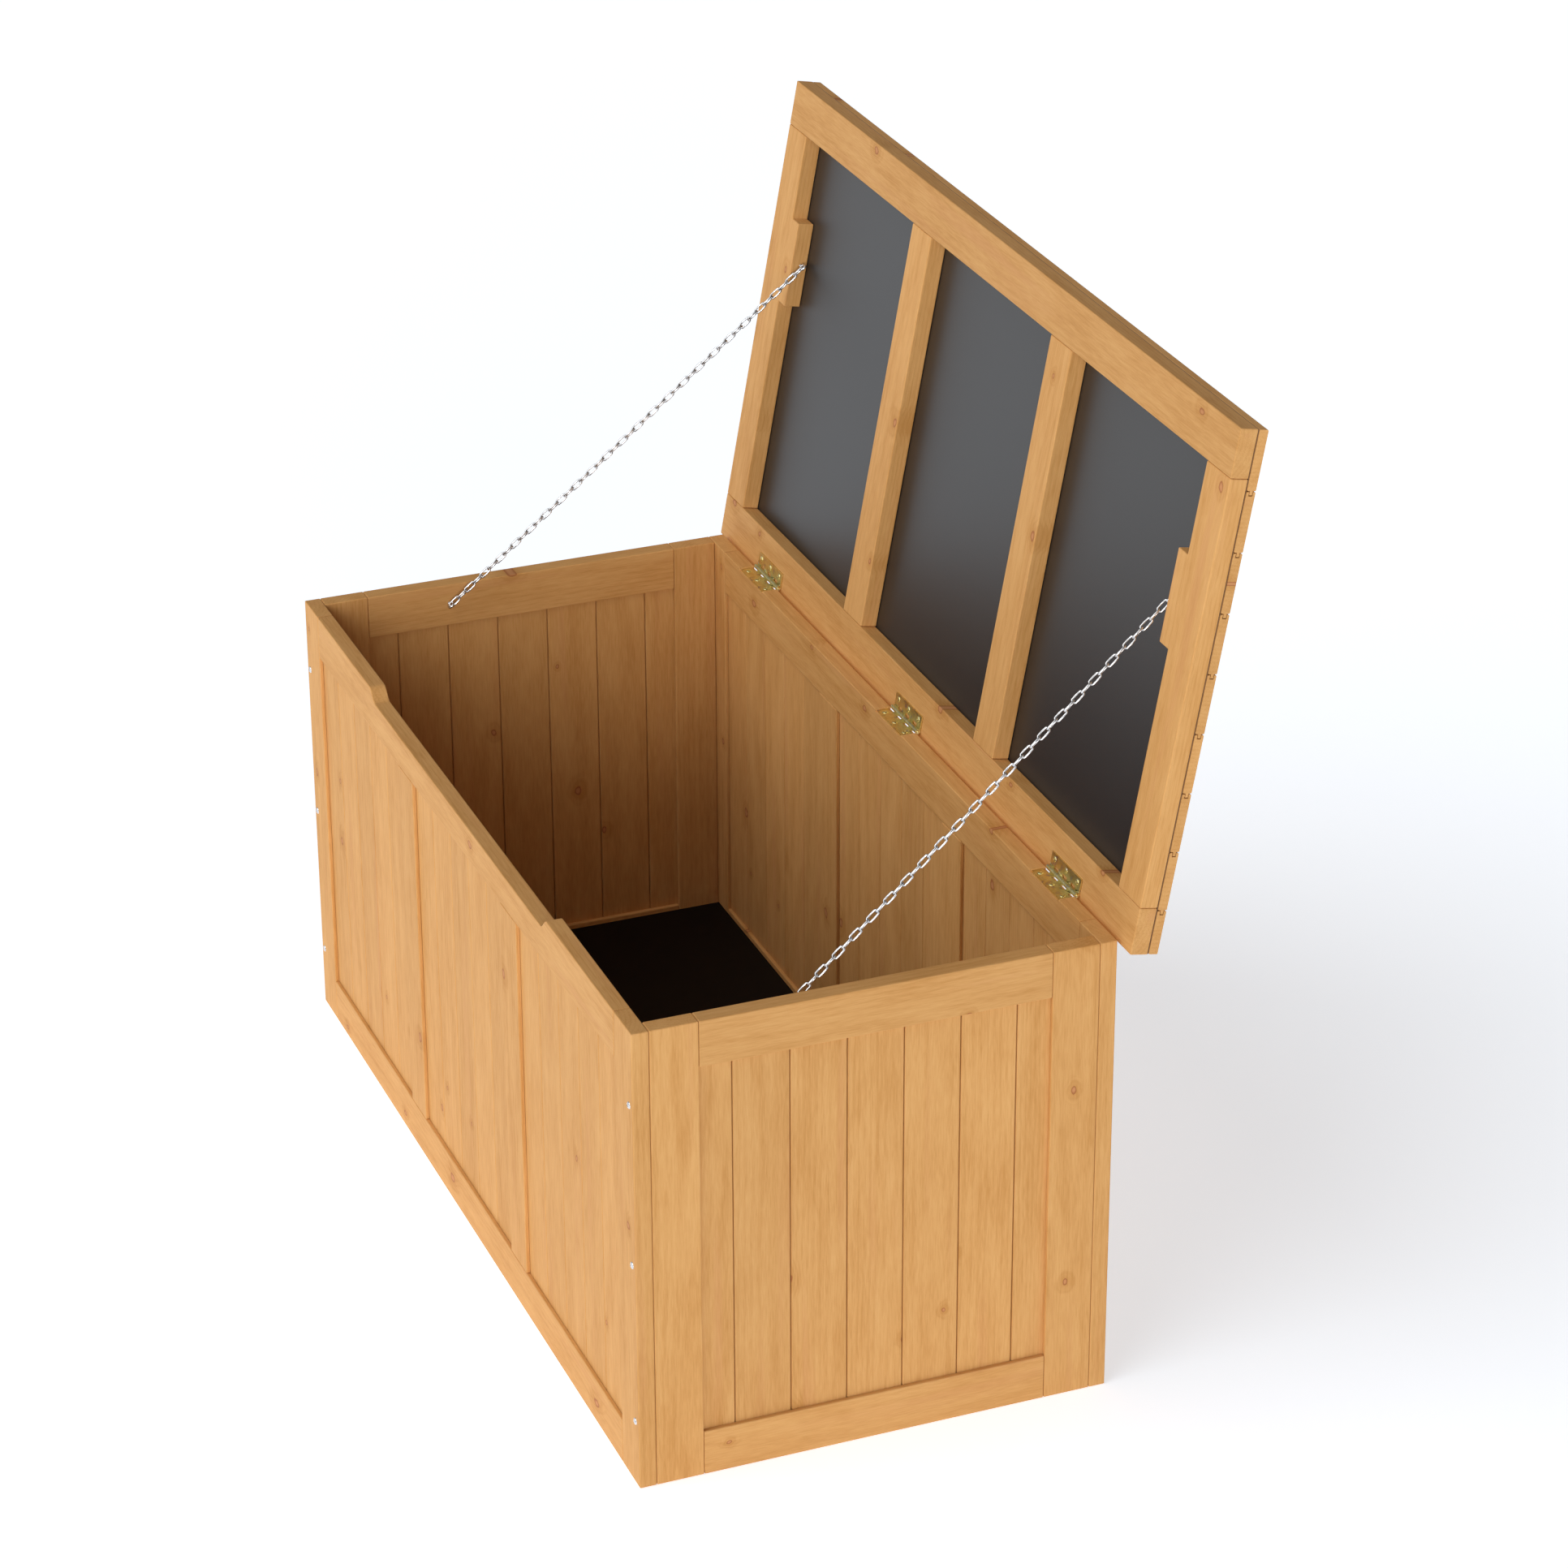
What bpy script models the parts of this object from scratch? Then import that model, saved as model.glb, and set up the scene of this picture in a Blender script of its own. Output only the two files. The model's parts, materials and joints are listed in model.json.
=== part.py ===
"""Wooden toy box: framed walls with tongue-and-groove boards, a framed lid on three butt hinges,
and two chain stays that stop the lid just past upright.

Metres, +Z up, +Y to the back. The box stands on its bottom rails at Z = 0. The model is drawn with the
lid open against its chains. The origin is at the middle of the whole footprint, open lid included.
"""
import math

import bmesh
import bpy
from mathutils import Matrix, Vector

# Overall sizes of the box without its lid
BOX_LENGTH = 1.000
BOX_DEPTH = 0.4675
BOX_HEIGHT = 0.4752

# Frame stock
STOCK_WIDTH = 0.0463            # seen width of every rail, stile and muntin
FRONT_THICKNESS = 0.0165        # front and back walls
END_THICKNESS = 0.0182          # end walls
EDGE_ROUND = 0.0010             # eased edges of the stock
EDGE_STEPS = 2
JOINT_GAP = 0.0003              # between pieces that touch

# Tongue-and-groove boards in the walls
BOARD_THICKNESS = 0.0088
BOARD_PITCH = 0.0552
BOARD_SEAM_HALF = 0.0007        # half the width of a seam's V
BOARD_SEAM_DEPTH = 0.0012
GROOVE_DEPTH = 0.0080           # how far the boards' ends and sides run into the frame
GROOVE_END_GAP = 0.0010

# Hand scoop in the front wall's top rail
SCOOP_WIDTH = 0.546             # at the rim
SCOOP_DEPTH = 0.0125
SCOOP_SHOULDER = 0.018          # length of each S-shaped end
SCOOP_STEPS = 8

# Floor
FLOOR_TOP = 0.0410
FLOOR_THICKNESS = 0.0060
CLEAT_WIDTH = 0.0180
CLEAT_HEIGHT = 0.0200

# Lid
LID_SIDE_OVERHANG = 0.0187
LID_FRONT_OVERHANG = 0.0290
LID_REAR_REACH = 0.0062         # how far the lid runs behind the hinge axis when it is shut
LID_FRAME_THICKNESS = 0.0175
LID_BOARD_THICKNESS = 0.0088
LID_BOARD_PITCH = 0.0576
LINER_THICKNESS = 0.0005
LINER_INSET = 0.0005
LID_OPEN_ANGLE = math.radians(100.3)

# Chain blocks, the wide places on the lid's stiles that the lid's screw eyes go into
BLOCK_LENGTH = 0.0905
BLOCK_WIDTH = 0.0178
BLOCK_FROM_FRONT = 0.1802       # from the lid's front edge to the middle of the block

# Butt hinges
HINGE_COUNT = 3
HINGE_LENGTH = 0.0640
HINGE_SPACING = 0.3750
LEAF_THICKNESS = 0.0013
BOX_LEAF_SET_BACK = 0.0019      # from the back wall's inner face to the box leaf's free edge
LID_LEAF_REACH = 0.0160         # from the axis to the leaf's free edge
KNUCKLE_COUNT = 7
KNUCKLE_RADIUS = 0.0026
KNUCKLE_GAP = 0.0003            # along the axis, between neighbouring knuckles
PIN_RADIUS = 0.00125
PIN_CLEARANCE = 0.0001
PIN_HEAD = 0.0008               # how far the pin stands out of the knuckles
LEAF_SLOT = 0.0028              # slot behind each of the other leaf's knuckles
AXIS_BEHIND_BOX = 0.0022        # from the back wall's face to the hinge axis, which is level with the rim
MORTISE_SIDE_GAP = 0.0005
ROUND_STEPS = 16

# Screw eyes and chain stays
EYE_RING_RADIUS = 0.0034        # to the middle of the wire
EYE_WIRE_RADIUS = 0.0011
EYE_SHANK_RADIUS = 0.00107
EYE_SHANK_LENGTH = 0.0120
EYE_STANDOFF = 0.0058           # from the wood to the middle of the ring
EYE_HOLE_GAP = 0.0003
EYE_RING_STEPS = 16
EYE_WIRE_STEPS = 8
BOX_EYE_FROM_FRONT = 0.1518
BOX_EYE_BELOW_RIM = 0.0207
LID_EYE_DEPTH = 0.0104          # behind the lid frame's underside
CHAIN_RADIUS = 0.00175
CHAIN_TIP_RADIUS = 0.0005
CHAIN_TAPER = 0.0120
CHAIN_PIVOT_GAP = 0.0006
CHAIN_EYE_GAP = 0.0007
CHAIN_SIDE_STEP = 0.0022        # sideways step of each length's end, so that folded lengths pass
CHAIN_LINKS = (13, 11, 22)      # links in each length, from the box's eye to the lid's eye
CHAIN_SIDES = 8

# Sizes that follow from the ones above
WALL_INNER_LENGTH = BOX_LENGTH - 2 * END_THICKNESS
BOX_INNER_DEPTH = BOX_DEPTH - 2 * FRONT_THICKNESS
BOX_LEAF_REACH = AXIS_BEHIND_BOX + FRONT_THICKNESS - BOX_LEAF_SET_BACK
AXIS_TO_LID_FACE = KNUCKLE_RADIUS + JOINT_GAP
AXIS_Y = BOX_DEPTH + AXIS_BEHIND_BOX
LID_WIDTH = BOX_LENGTH + 2 * LID_SIDE_OVERHANG
LID_FRONT = -(AXIS_Y + LID_FRONT_OVERHANG)
LID_REAR = LID_REAR_REACH
LINER_BOTTOM = AXIS_TO_LID_FACE + LID_FRAME_THICKNESS + JOINT_GAP
LID_BOARD_BOTTOM = LINER_BOTTOM + LINER_THICKNESS + JOINT_GAP
LID_TOP = LID_BOARD_BOTTOM + LID_BOARD_THICKNESS
LID_TILT = LID_OPEN_ANGLE - math.pi / 2
OVERALL_DEPTH = AXIS_Y + math.cos(LID_TILT) * LID_TOP - math.sin(LID_TILT) * LID_FRONT

SIDES = (("left", -1), ("right", 1))
HINGE_NAMES = ("hinge_left", "hinge_middle", "hinge_right")


# ---------------------------------------------------------------- materials

def make_material(name, colour, roughness, metallic=0.0):
    """A plain Principled material; colour is linear RGB."""
    material = bpy.data.materials.new(name)
    material.use_nodes = True
    shader = material.node_tree.nodes["Principled BSDF"]
    shader.inputs["Base Color"].default_value = (*colour, 1.0)
    shader.inputs["Roughness"].default_value = roughness
    shader.inputs["Metallic"].default_value = metallic
    material.diffuse_color = (*colour, 1.0)
    return material


def wood_material(name):
    """Honey-stained fir under a thin satin lacquer."""
    return make_material(name, (0.69, 0.38, 0.145), 0.50)


def zinc_material(name):
    """Bright zinc-plated steel wire."""
    return make_material(name, (0.66, 0.66, 0.67), 0.28, 1.0)


def hinge_material(name):
    """Yellow-passivated steel."""
    return make_material(name, (0.68, 0.60, 0.34), 0.32, 1.0)


# ---------------------------------------------------------------- shapes and objects

def prism_mesh(name, outline, axis, low, high):
    """Extrudes a flat outline along axis 0, 1 or 2; its points hold the other two coordinates, in order."""
    others = [i for i in range(3) if i != axis]
    bm = bmesh.new()
    corners = []
    for point in outline:
        co = [0.0, 0.0, 0.0]
        co[axis] = low
        co[others[0]], co[others[1]] = point
        corners.append(bm.verts.new(co))
    base = bm.faces.new(corners)
    grown = bmesh.ops.extrude_face_region(bm, geom=[base])
    shift = Vector((0.0, 0.0, 0.0))
    shift[axis] = high - low
    moved = [g for g in grown["geom"] if isinstance(g, bmesh.types.BMVert)]
    bmesh.ops.translate(bm, vec=shift, verts=moved)
    bmesh.ops.recalc_face_normals(bm, faces=bm.faces)
    mesh = bpy.data.meshes.new(name)
    bm.to_mesh(mesh)
    bm.free()
    return mesh


def box_mesh(name, low, high):
    """A box between two corners."""
    outline = [(low[0], low[1]), (high[0], low[1]), (high[0], high[1]), (low[0], high[1])]
    return prism_mesh(name, outline, 2, low[2], high[2])


def turned_mesh(name, profile, sides):
    """Turns a profile of (distance along X, radius) about X and caps both ends."""
    bm = bmesh.new()
    rings = []
    for x, radius in profile:
        angles = [2 * math.pi * k / sides for k in range(sides)]
        rings.append([bm.verts.new((x, radius * math.cos(a), radius * math.sin(a))) for a in angles])
    for ring, following in zip(rings, rings[1:]):
        for k in range(sides):
            n = (k + 1) % sides
            bm.faces.new((ring[k], ring[n], following[n], following[k]))
    bm.faces.new(rings[0])
    bm.faces.new(rings[-1])
    bmesh.ops.recalc_face_normals(bm, faces=bm.faces)
    mesh = bpy.data.meshes.new(name)
    bm.to_mesh(mesh)
    bm.free()
    return mesh


def add_object(name, mesh, material, parent, location=(0, 0, 0)):
    """Puts a mesh in the scene as one named piece."""
    obj = bpy.data.objects.new(name, mesh)
    bpy.context.scene.collection.objects.link(obj)
    if not mesh.materials:
        mesh.materials.append(material)
    obj.parent = parent
    obj.location = location
    return obj


def add_empty(name, parent=None, location=(0, 0, 0), turn_x=0.0, turn_z=0.0):
    """A frame that pieces hang on."""
    obj = bpy.data.objects.new(name, None)
    bpy.context.scene.collection.objects.link(obj)
    obj.parent = parent
    obj.location = location
    obj.rotation_euler = (turn_x, 0.0, turn_z)
    return obj


def add_cutter(name, mesh, collection, parent):
    """A hidden tool body in a collection of cutters."""
    obj = bpy.data.objects.new(name, mesh)
    collection.objects.link(obj)
    obj.parent = parent
    obj.hide_render = True
    obj.display_type = "WIRE"
    return obj


def cutter_collection(name):
    """A collection for one assembly's cutters."""
    collection = bpy.data.collections.new(name)
    bpy.context.scene.collection.children.link(collection)
    return collection


def ease_edges(obj):
    """Rounds the sharp edges of a piece of stock."""
    bevel = obj.modifiers.new("eased_edges", "BEVEL")
    bevel.width = EDGE_ROUND
    bevel.segments = EDGE_STEPS
    bevel.limit_method = "ANGLE"
    bevel.angle_limit = math.radians(40)


def cut_with(obj, collection):
    """Takes every cutter of a collection out of a piece."""
    boolean = obj.modifiers.new("cuts", "BOOLEAN")
    boolean.operation = "DIFFERENCE"
    boolean.solver = "EXACT"
    boolean.operand_type = "COLLECTION"
    boolean.collection = collection


def combined_mesh(name, base, added, removed):
    """Joins meshes to a base mesh, takes others out of it, and returns the result as one mesh."""
    piece = bpy.data.objects.new(name, base)
    bpy.context.scene.collection.objects.link(piece)
    tools = []
    for operation, meshes in (("UNION", added), ("DIFFERENCE", removed)):
        for mesh in meshes:
            tool = bpy.data.objects.new(mesh.name, mesh)
            bpy.context.scene.collection.objects.link(tool)
            boolean = piece.modifiers.new(mesh.name, "BOOLEAN")
            boolean.operation = operation
            boolean.solver = "EXACT"
            boolean.object = tool
            tools.append(tool)
    bpy.context.view_layer.update()
    mesh = bpy.data.meshes.new_from_object(piece.evaluated_get(bpy.context.evaluated_depsgraph_get()))
    mesh.name = name
    mesh.materials.clear()
    for obj in [piece] + tools:
        bpy.data.objects.remove(obj)
    return mesh


def stock_piece(name, low, high, parent, cutters=None):
    """A straight piece of frame stock with eased edges, its origin at its middle."""
    middle = [(a + b) / 2 for a, b in zip(low, high)]
    half = [(b - a) / 2 for a, b in zip(low, high)]
    mesh = box_mesh(name, [-h for h in half], half)
    obj = add_object(name, mesh, wood_material(name), parent, middle)
    ease_edges(obj)
    if cutters:
        cut_with(obj, cutters)


# ---------------------------------------------------------------- tongue-and-groove boards

def seam_places(low, high, pitch):
    """Places of the seams between boards, centred so that both edge boards are alike."""
    count = int((high - low) / pitch)
    first = (low + high - (count - 1) * pitch) / 2
    return [first + k * pitch for k in range(count)]


def board_outline(low, high, bottom, top, seams):
    """Cross-section of a row of boards, with a V at each seam on both faces."""
    outline = [(low, bottom)]
    for seam in seams:
        outline += [(seam - BOARD_SEAM_HALF, bottom), (seam, bottom + BOARD_SEAM_DEPTH),
                    (seam + BOARD_SEAM_HALF, bottom)]
    outline += [(high, bottom), (high, top)]
    for seam in reversed(seams):
        outline += [(seam + BOARD_SEAM_HALF, top), (seam, top - BOARD_SEAM_DEPTH),
                    (seam - BOARD_SEAM_HALF, top)]
    outline.append((low, top))
    return outline


def wall_boards(name, bay, thickness, parent):
    """The upright boards of one bay, held all round in the frame's groove."""
    left, right = bay
    reach = GROOVE_DEPTH - GROOVE_END_GAP
    front = (thickness - BOARD_THICKNESS) / 2
    outline = board_outline(left - reach, right + reach, front, front + BOARD_THICKNESS,
                            seam_places(left, right, BOARD_PITCH))
    mesh = prism_mesh(name, outline, 2, STOCK_WIDTH - reach, BOX_HEIGHT - STOCK_WIDTH + reach)
    add_object(name, mesh, wood_material(name), parent)


# ---------------------------------------------------------------- walls

def groove_cutter(name, bay, thickness, collection, parent):
    """The groove round one bay."""
    left, right = bay
    front = (thickness - BOARD_THICKNESS) / 2
    mesh = box_mesh(name,
                    (left - GROOVE_DEPTH, front - JOINT_GAP, STOCK_WIDTH - GROOVE_DEPTH),
                    (right + GROOVE_DEPTH, thickness - front + JOINT_GAP,
                     BOX_HEIGHT - STOCK_WIDTH + GROOVE_DEPTH))
    add_cutter(name, mesh, collection, parent)


def wall_bays(width, count):
    """The openings between the uprights of a wall, along its own X."""
    opening = (width - (count + 1) * STOCK_WIDTH) / count
    step = opening + STOCK_WIDTH
    first = -width / 2 + STOCK_WIDTH
    return [(first + k * step, first + k * step + opening) for k in range(count)]


def scooped_rail(name, low, high, parent, cutters):
    """The front wall's top rail, with a shallow hand scoop in its upper edge."""
    middle = [(a + b) / 2 for a, b in zip(low, high)]
    half_x, half_y, half_z = [(b - a) / 2 for a, b in zip(low, high)]
    edge = []
    for k in range(SCOOP_STEPS + 1):
        share = k / SCOOP_STEPS
        drop = SCOOP_DEPTH * (1 - math.cos(math.pi * share)) / 2
        edge.append((-SCOOP_WIDTH / 2 + SCOOP_SHOULDER * share, half_z - drop))
    edge += [(-x, z) for x, z in reversed(edge)]
    outline = [(half_x, half_z), (half_x, -half_z), (-half_x, -half_z), (-half_x, half_z)] + edge
    mesh = prism_mesh(name, outline, 1, -half_y, half_y)
    obj = add_object(name, mesh, wood_material(name), parent, middle)
    ease_edges(obj)
    cut_with(obj, cutters)


def build_wall(name, parent, width, thickness, bays, names, cutters, scooped=False):
    """One framed wall in its own frame: X along it, outer face at Y = 0, Z up.

    names gives the wall's own sides in order of X, so that a turned wall keeps true left and right.
    """
    first, last = names
    half = width / 2
    inner_top = BOX_HEIGHT - STOCK_WIDTH
    for bay_name, bay in zip(board_names(name, len(bays), names), bays):
        groove_cutter("groove_" + bay_name, bay, thickness, cutters, parent)
        wall_boards(bay_name, bay, thickness, parent)
    stock_piece(f"{name}_{first}_stile", (-half, 0, 0), (-half + STOCK_WIDTH, thickness, BOX_HEIGHT),
                parent, cutters)
    stock_piece(f"{name}_{last}_stile", (half - STOCK_WIDTH, 0, 0), (half, thickness, BOX_HEIGHT),
                parent, cutters)
    rail_end = half - STOCK_WIDTH - JOINT_GAP
    stock_piece(f"{name}_bottom_rail", (-rail_end, 0, 0), (rail_end, thickness, STOCK_WIDTH),
                parent, cutters)
    top_rail = scooped_rail if scooped else stock_piece
    top_rail(f"{name}_top_rail", (-rail_end, 0, inner_top), (rail_end, thickness, BOX_HEIGHT),
             parent, cutters)
    for side, (_, right), (following, _) in zip(names, bays, bays[1:]):
        stock_piece(f"{name}_{side}_muntin", (right, 0, STOCK_WIDTH + JOINT_GAP),
                    (following, thickness, inner_top - JOINT_GAP), parent, cutters)


def board_names(name, count, names):
    """Names of a wall's rows of boards, in order of the wall's X."""
    if count == 1:
        return [f"{name}_boards"]
    return [f"{name}_{names[0]}_boards", f"{name}_middle_boards", f"{name}_{names[1]}_boards"]


def build_walls(root):
    """Front, back and both ends."""
    long_bays = wall_bays(BOX_LENGTH, 3)
    end_width = BOX_INNER_DEPTH - 2 * JOINT_GAP
    front = add_empty("front_wall", root)
    build_wall("front", front, BOX_LENGTH, FRONT_THICKNESS, long_bays, ("left", "right"),
               cutter_collection("front_cuts"), scooped=True)
    back = add_empty("back_wall", root, (0, BOX_DEPTH, 0), turn_z=math.pi)
    back_cuts = cutter_collection("back_cuts")
    mortise_cutters(back, back_cuts)
    build_wall("back", back, BOX_LENGTH, FRONT_THICKNESS, long_bays, ("right", "left"), back_cuts)
    for side, sign in SIDES:
        end = add_empty(f"{side}_end_wall", root, (sign * BOX_LENGTH / 2, BOX_DEPTH / 2, 0),
                        turn_z=sign * math.pi / 2)
        cuts = cutter_collection(f"{side}_end_cuts")
        order = ("front", "rear") if sign > 0 else ("rear", "front")
        eye_hole(f"{side}_box_eye_hole", root, cuts, box_eye_place(sign), sign)
        build_wall(f"{side}_end", end, end_width, END_THICKNESS, wall_bays(end_width, 1), order, cuts)


# ---------------------------------------------------------------- floor

def build_floor(root):
    """The dark floor panel and the two cleats that carry it."""
    inner_x = WALL_INNER_LENGTH / 2 - JOINT_GAP
    front_y = FRONT_THICKNESS + JOINT_GAP
    back_y = BOX_DEPTH - front_y
    floor_bottom = FLOOR_TOP - FLOOR_THICKNESS
    mesh = box_mesh("floor_panel", (-inner_x, front_y, floor_bottom), (inner_x, back_y, FLOOR_TOP))
    add_object("floor_panel", mesh, make_material("floor_panel", (0.012, 0.011, 0.010), 0.6), root)
    cleat_top = floor_bottom - JOINT_GAP
    stock_piece("floor_front_cleat", (-inner_x, front_y, cleat_top - CLEAT_HEIGHT),
                (inner_x, front_y + CLEAT_WIDTH, cleat_top), root)
    stock_piece("floor_back_cleat", (-inner_x, back_y - CLEAT_WIDTH, cleat_top - CLEAT_HEIGHT),
                (inner_x, back_y, cleat_top), root)


# ---------------------------------------------------------------- lid

def build_lid(axis):
    """The lid in its shut position about the hinge axis; the axis frame holds it open."""
    half = LID_WIDTH / 2
    bottom = AXIS_TO_LID_FACE
    top = bottom + LID_FRAME_THICKNESS
    inner_front = LID_FRONT + STOCK_WIDTH
    inner_rear = LID_REAR - STOCK_WIDTH
    cuts = cutter_collection("lid_cuts")
    stock_piece("lid_front_rail", (-half, LID_FRONT, bottom), (half, inner_front, top), axis)
    stock_piece("lid_rear_rail", (-half, inner_rear, bottom), (half, LID_REAR, top), axis)
    opening = (LID_WIDTH - 4 * STOCK_WIDTH) / 3
    for side, sign in SIDES:
        lid_stile(side, sign, (inner_front + JOINT_GAP, inner_rear - JOINT_GAP), (bottom, top), axis, cuts)
        near = sign * opening / 2
        far = near + sign * STOCK_WIDTH
        stock_piece(f"lid_{side}_muntin", (min(near, far), inner_front + JOINT_GAP, bottom),
                    (max(near, far), inner_rear - JOINT_GAP, top), axis)
    mesh = box_mesh("lid_liner", (-half + LINER_INSET, LID_FRONT + LINER_INSET, LINER_BOTTOM),
                    (half - LINER_INSET, LID_REAR - LINER_INSET, LINER_BOTTOM + LINER_THICKNESS))
    add_object("lid_liner", mesh, make_material("lid_liner", (0.055, 0.055, 0.052), 0.55), axis)
    seams = []
    seam = LID_FRONT + LID_BOARD_PITCH
    while seam < LID_REAR - BOARD_SEAM_HALF - EDGE_ROUND:
        seams.append(seam)
        seam += LID_BOARD_PITCH
    outline = board_outline(LID_FRONT, LID_REAR, LID_BOARD_BOTTOM, LID_TOP, seams)
    mesh = prism_mesh("lid_boards", outline, 0, -half, half)
    add_object("lid_boards", mesh, wood_material("lid_boards"), axis)


def lid_stile(side, sign, span_y, span_z, axis, cuts):
    """An end member of the lid's frame, with its chain block left standing on the inner edge."""
    name = f"lid_{side}_stile"
    outer = sign * LID_WIDTH / 2
    inner = outer - sign * STOCK_WIDTH
    block = inner - sign * BLOCK_WIDTH
    middle = LID_FRONT + BLOCK_FROM_FRONT
    front, rear = span_y
    outline = [(outer, front), (outer, rear), (inner, rear), (inner, middle + BLOCK_LENGTH / 2),
               (block, middle + BLOCK_LENGTH / 2), (block, middle - BLOCK_LENGTH / 2),
               (inner, middle - BLOCK_LENGTH / 2), (inner, front)]
    mesh = prism_mesh(name, outline, 2, *span_z)
    obj = add_object(name, mesh, wood_material(name), axis)
    ease_edges(obj)
    eye_hole(f"{side}_lid_eye_hole", axis, cuts, lid_eye_place(sign), sign)
    cut_with(obj, cuts)


# ---------------------------------------------------------------- hinges

def hinge_places():
    """X of each hinge's middle."""
    return [(k - (HINGE_COUNT - 1) / 2) * HINGE_SPACING for k in range(HINGE_COUNT)]


def mortise_cutters(back, collection):
    """Notches in the back wall's rim, one under each hinge, drawn in the back wall's own frame."""
    half = HINGE_LENGTH / 2 + MORTISE_SIDE_GAP
    depth = KNUCKLE_RADIUS + JOINT_GAP
    over = EDGE_ROUND + JOINT_GAP
    for name, x in zip(HINGE_NAMES, hinge_places()):
        mesh = box_mesh(name + "_mortise", (-x - half, -over, BOX_HEIGHT - depth),
                        (-x + half, FRONT_THICKNESS + over, BOX_HEIGHT + over))
        add_cutter(name + "_mortise", mesh, collection, back)


def knuckle_spans(first):
    """Stretches along the axis of every other knuckle, from knuckle number first."""
    pitch = HINGE_LENGTH / KNUCKLE_COUNT
    starts = [k * pitch - HINGE_LENGTH / 2 for k in range(first, KNUCKLE_COUNT, 2)]
    return [(start + KNUCKLE_GAP / 2, start + pitch - KNUCKLE_GAP / 2) for start in starts]


def leaf_outline(first, reach):
    """A leaf seen from above: a plate with a tab for each of its own knuckles and slots between them."""
    half = HINGE_LENGTH / 2
    edge = -(KNUCKLE_RADIUS + LEAF_SLOT)
    tab_end = -(PIN_RADIUS + PIN_CLEARANCE) / 2
    outline = [(-half, -reach), (half, -reach), (half, edge)]
    for start, stop in reversed(knuckle_spans(first)):
        outline += [(stop, edge), (stop, tab_end), (start, tab_end), (start, edge)]
    outline.append((-half, edge))
    return outline


def leaf_mesh(name, first, reach, low, high):
    """A leaf between heights low and high from the axis, with every other knuckle from number first."""
    plate = prism_mesh(name, leaf_outline(first, reach), 2, low, high)
    barrels = [turned_mesh("barrel", [(start, KNUCKLE_RADIUS), (stop, KNUCKLE_RADIUS)], ROUND_STEPS)
               for start, stop in knuckle_spans(first)]
    bore_radius = PIN_RADIUS + PIN_CLEARANCE
    bore = turned_mesh("bore", [(-HINGE_LENGTH, bore_radius), (HINGE_LENGTH, bore_radius)], ROUND_STEPS)
    return combined_mesh(name, plate, barrels, [bore])


def build_hinges(box_axis, lid_axis):
    """Box leaf, lid leaf and pin of each hinge; the box leaf is let into the rim."""
    near = KNUCKLE_RADIUS - LEAF_THICKNESS
    box_leaf = leaf_mesh("box_leaf", 1, BOX_LEAF_REACH, -KNUCKLE_RADIUS, -near)
    lid_leaf = leaf_mesh("lid_leaf", 0, LID_LEAF_REACH, near, KNUCKLE_RADIUS)
    end = HINGE_LENGTH / 2 + PIN_HEAD
    pin = turned_mesh("hinge_pin", [(-end, PIN_RADIUS), (end, PIN_RADIUS)], ROUND_STEPS)
    for name, x in zip(HINGE_NAMES, hinge_places()):
        add_object(name + "_box_leaf", box_leaf, hinge_material("hinge_steel"), box_axis, (x, 0, 0))
        add_object(name + "_lid_leaf", lid_leaf, hinge_material("hinge_steel"), lid_axis, (x, 0, 0))
        add_object(name + "_pin", pin, hinge_material("hinge_steel"), box_axis, (x, 0, 0))


# ---------------------------------------------------------------- screw eyes and chains

def box_eye_place(sign):
    """Where an end wall's screw eye has the middle of its ring, and the wood's face there."""
    face = sign * WALL_INNER_LENGTH / 2
    return Vector((face, BOX_EYE_FROM_FRONT, BOX_HEIGHT - BOX_EYE_BELOW_RIM))


def lid_eye_place(sign):
    """The same for the lid's screw eye, in the lid's own frame."""
    face = sign * (LID_WIDTH / 2 - STOCK_WIDTH - BLOCK_WIDTH)
    return Vector((face, LID_FRONT + BLOCK_FROM_FRONT, AXIS_TO_LID_FACE + LID_EYE_DEPTH))


def eye_hole(name, parent, collection, place, sign):
    """The hole that a screw eye's shank goes into, outwards from the wood's face."""
    radius = EYE_SHANK_RADIUS + EYE_HOLE_GAP
    profile = [(-EYE_HOLE_GAP, radius), (EYE_SHANK_LENGTH + EYE_HOLE_GAP, radius)]
    mesh = turned_mesh(name, profile, EYE_WIRE_STEPS)
    mesh.transform(Matrix.Rotation(0.0 if sign > 0 else math.pi, 4, "Z"))
    cutter = add_cutter(name, mesh, collection, parent)
    cutter.location = place


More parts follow.
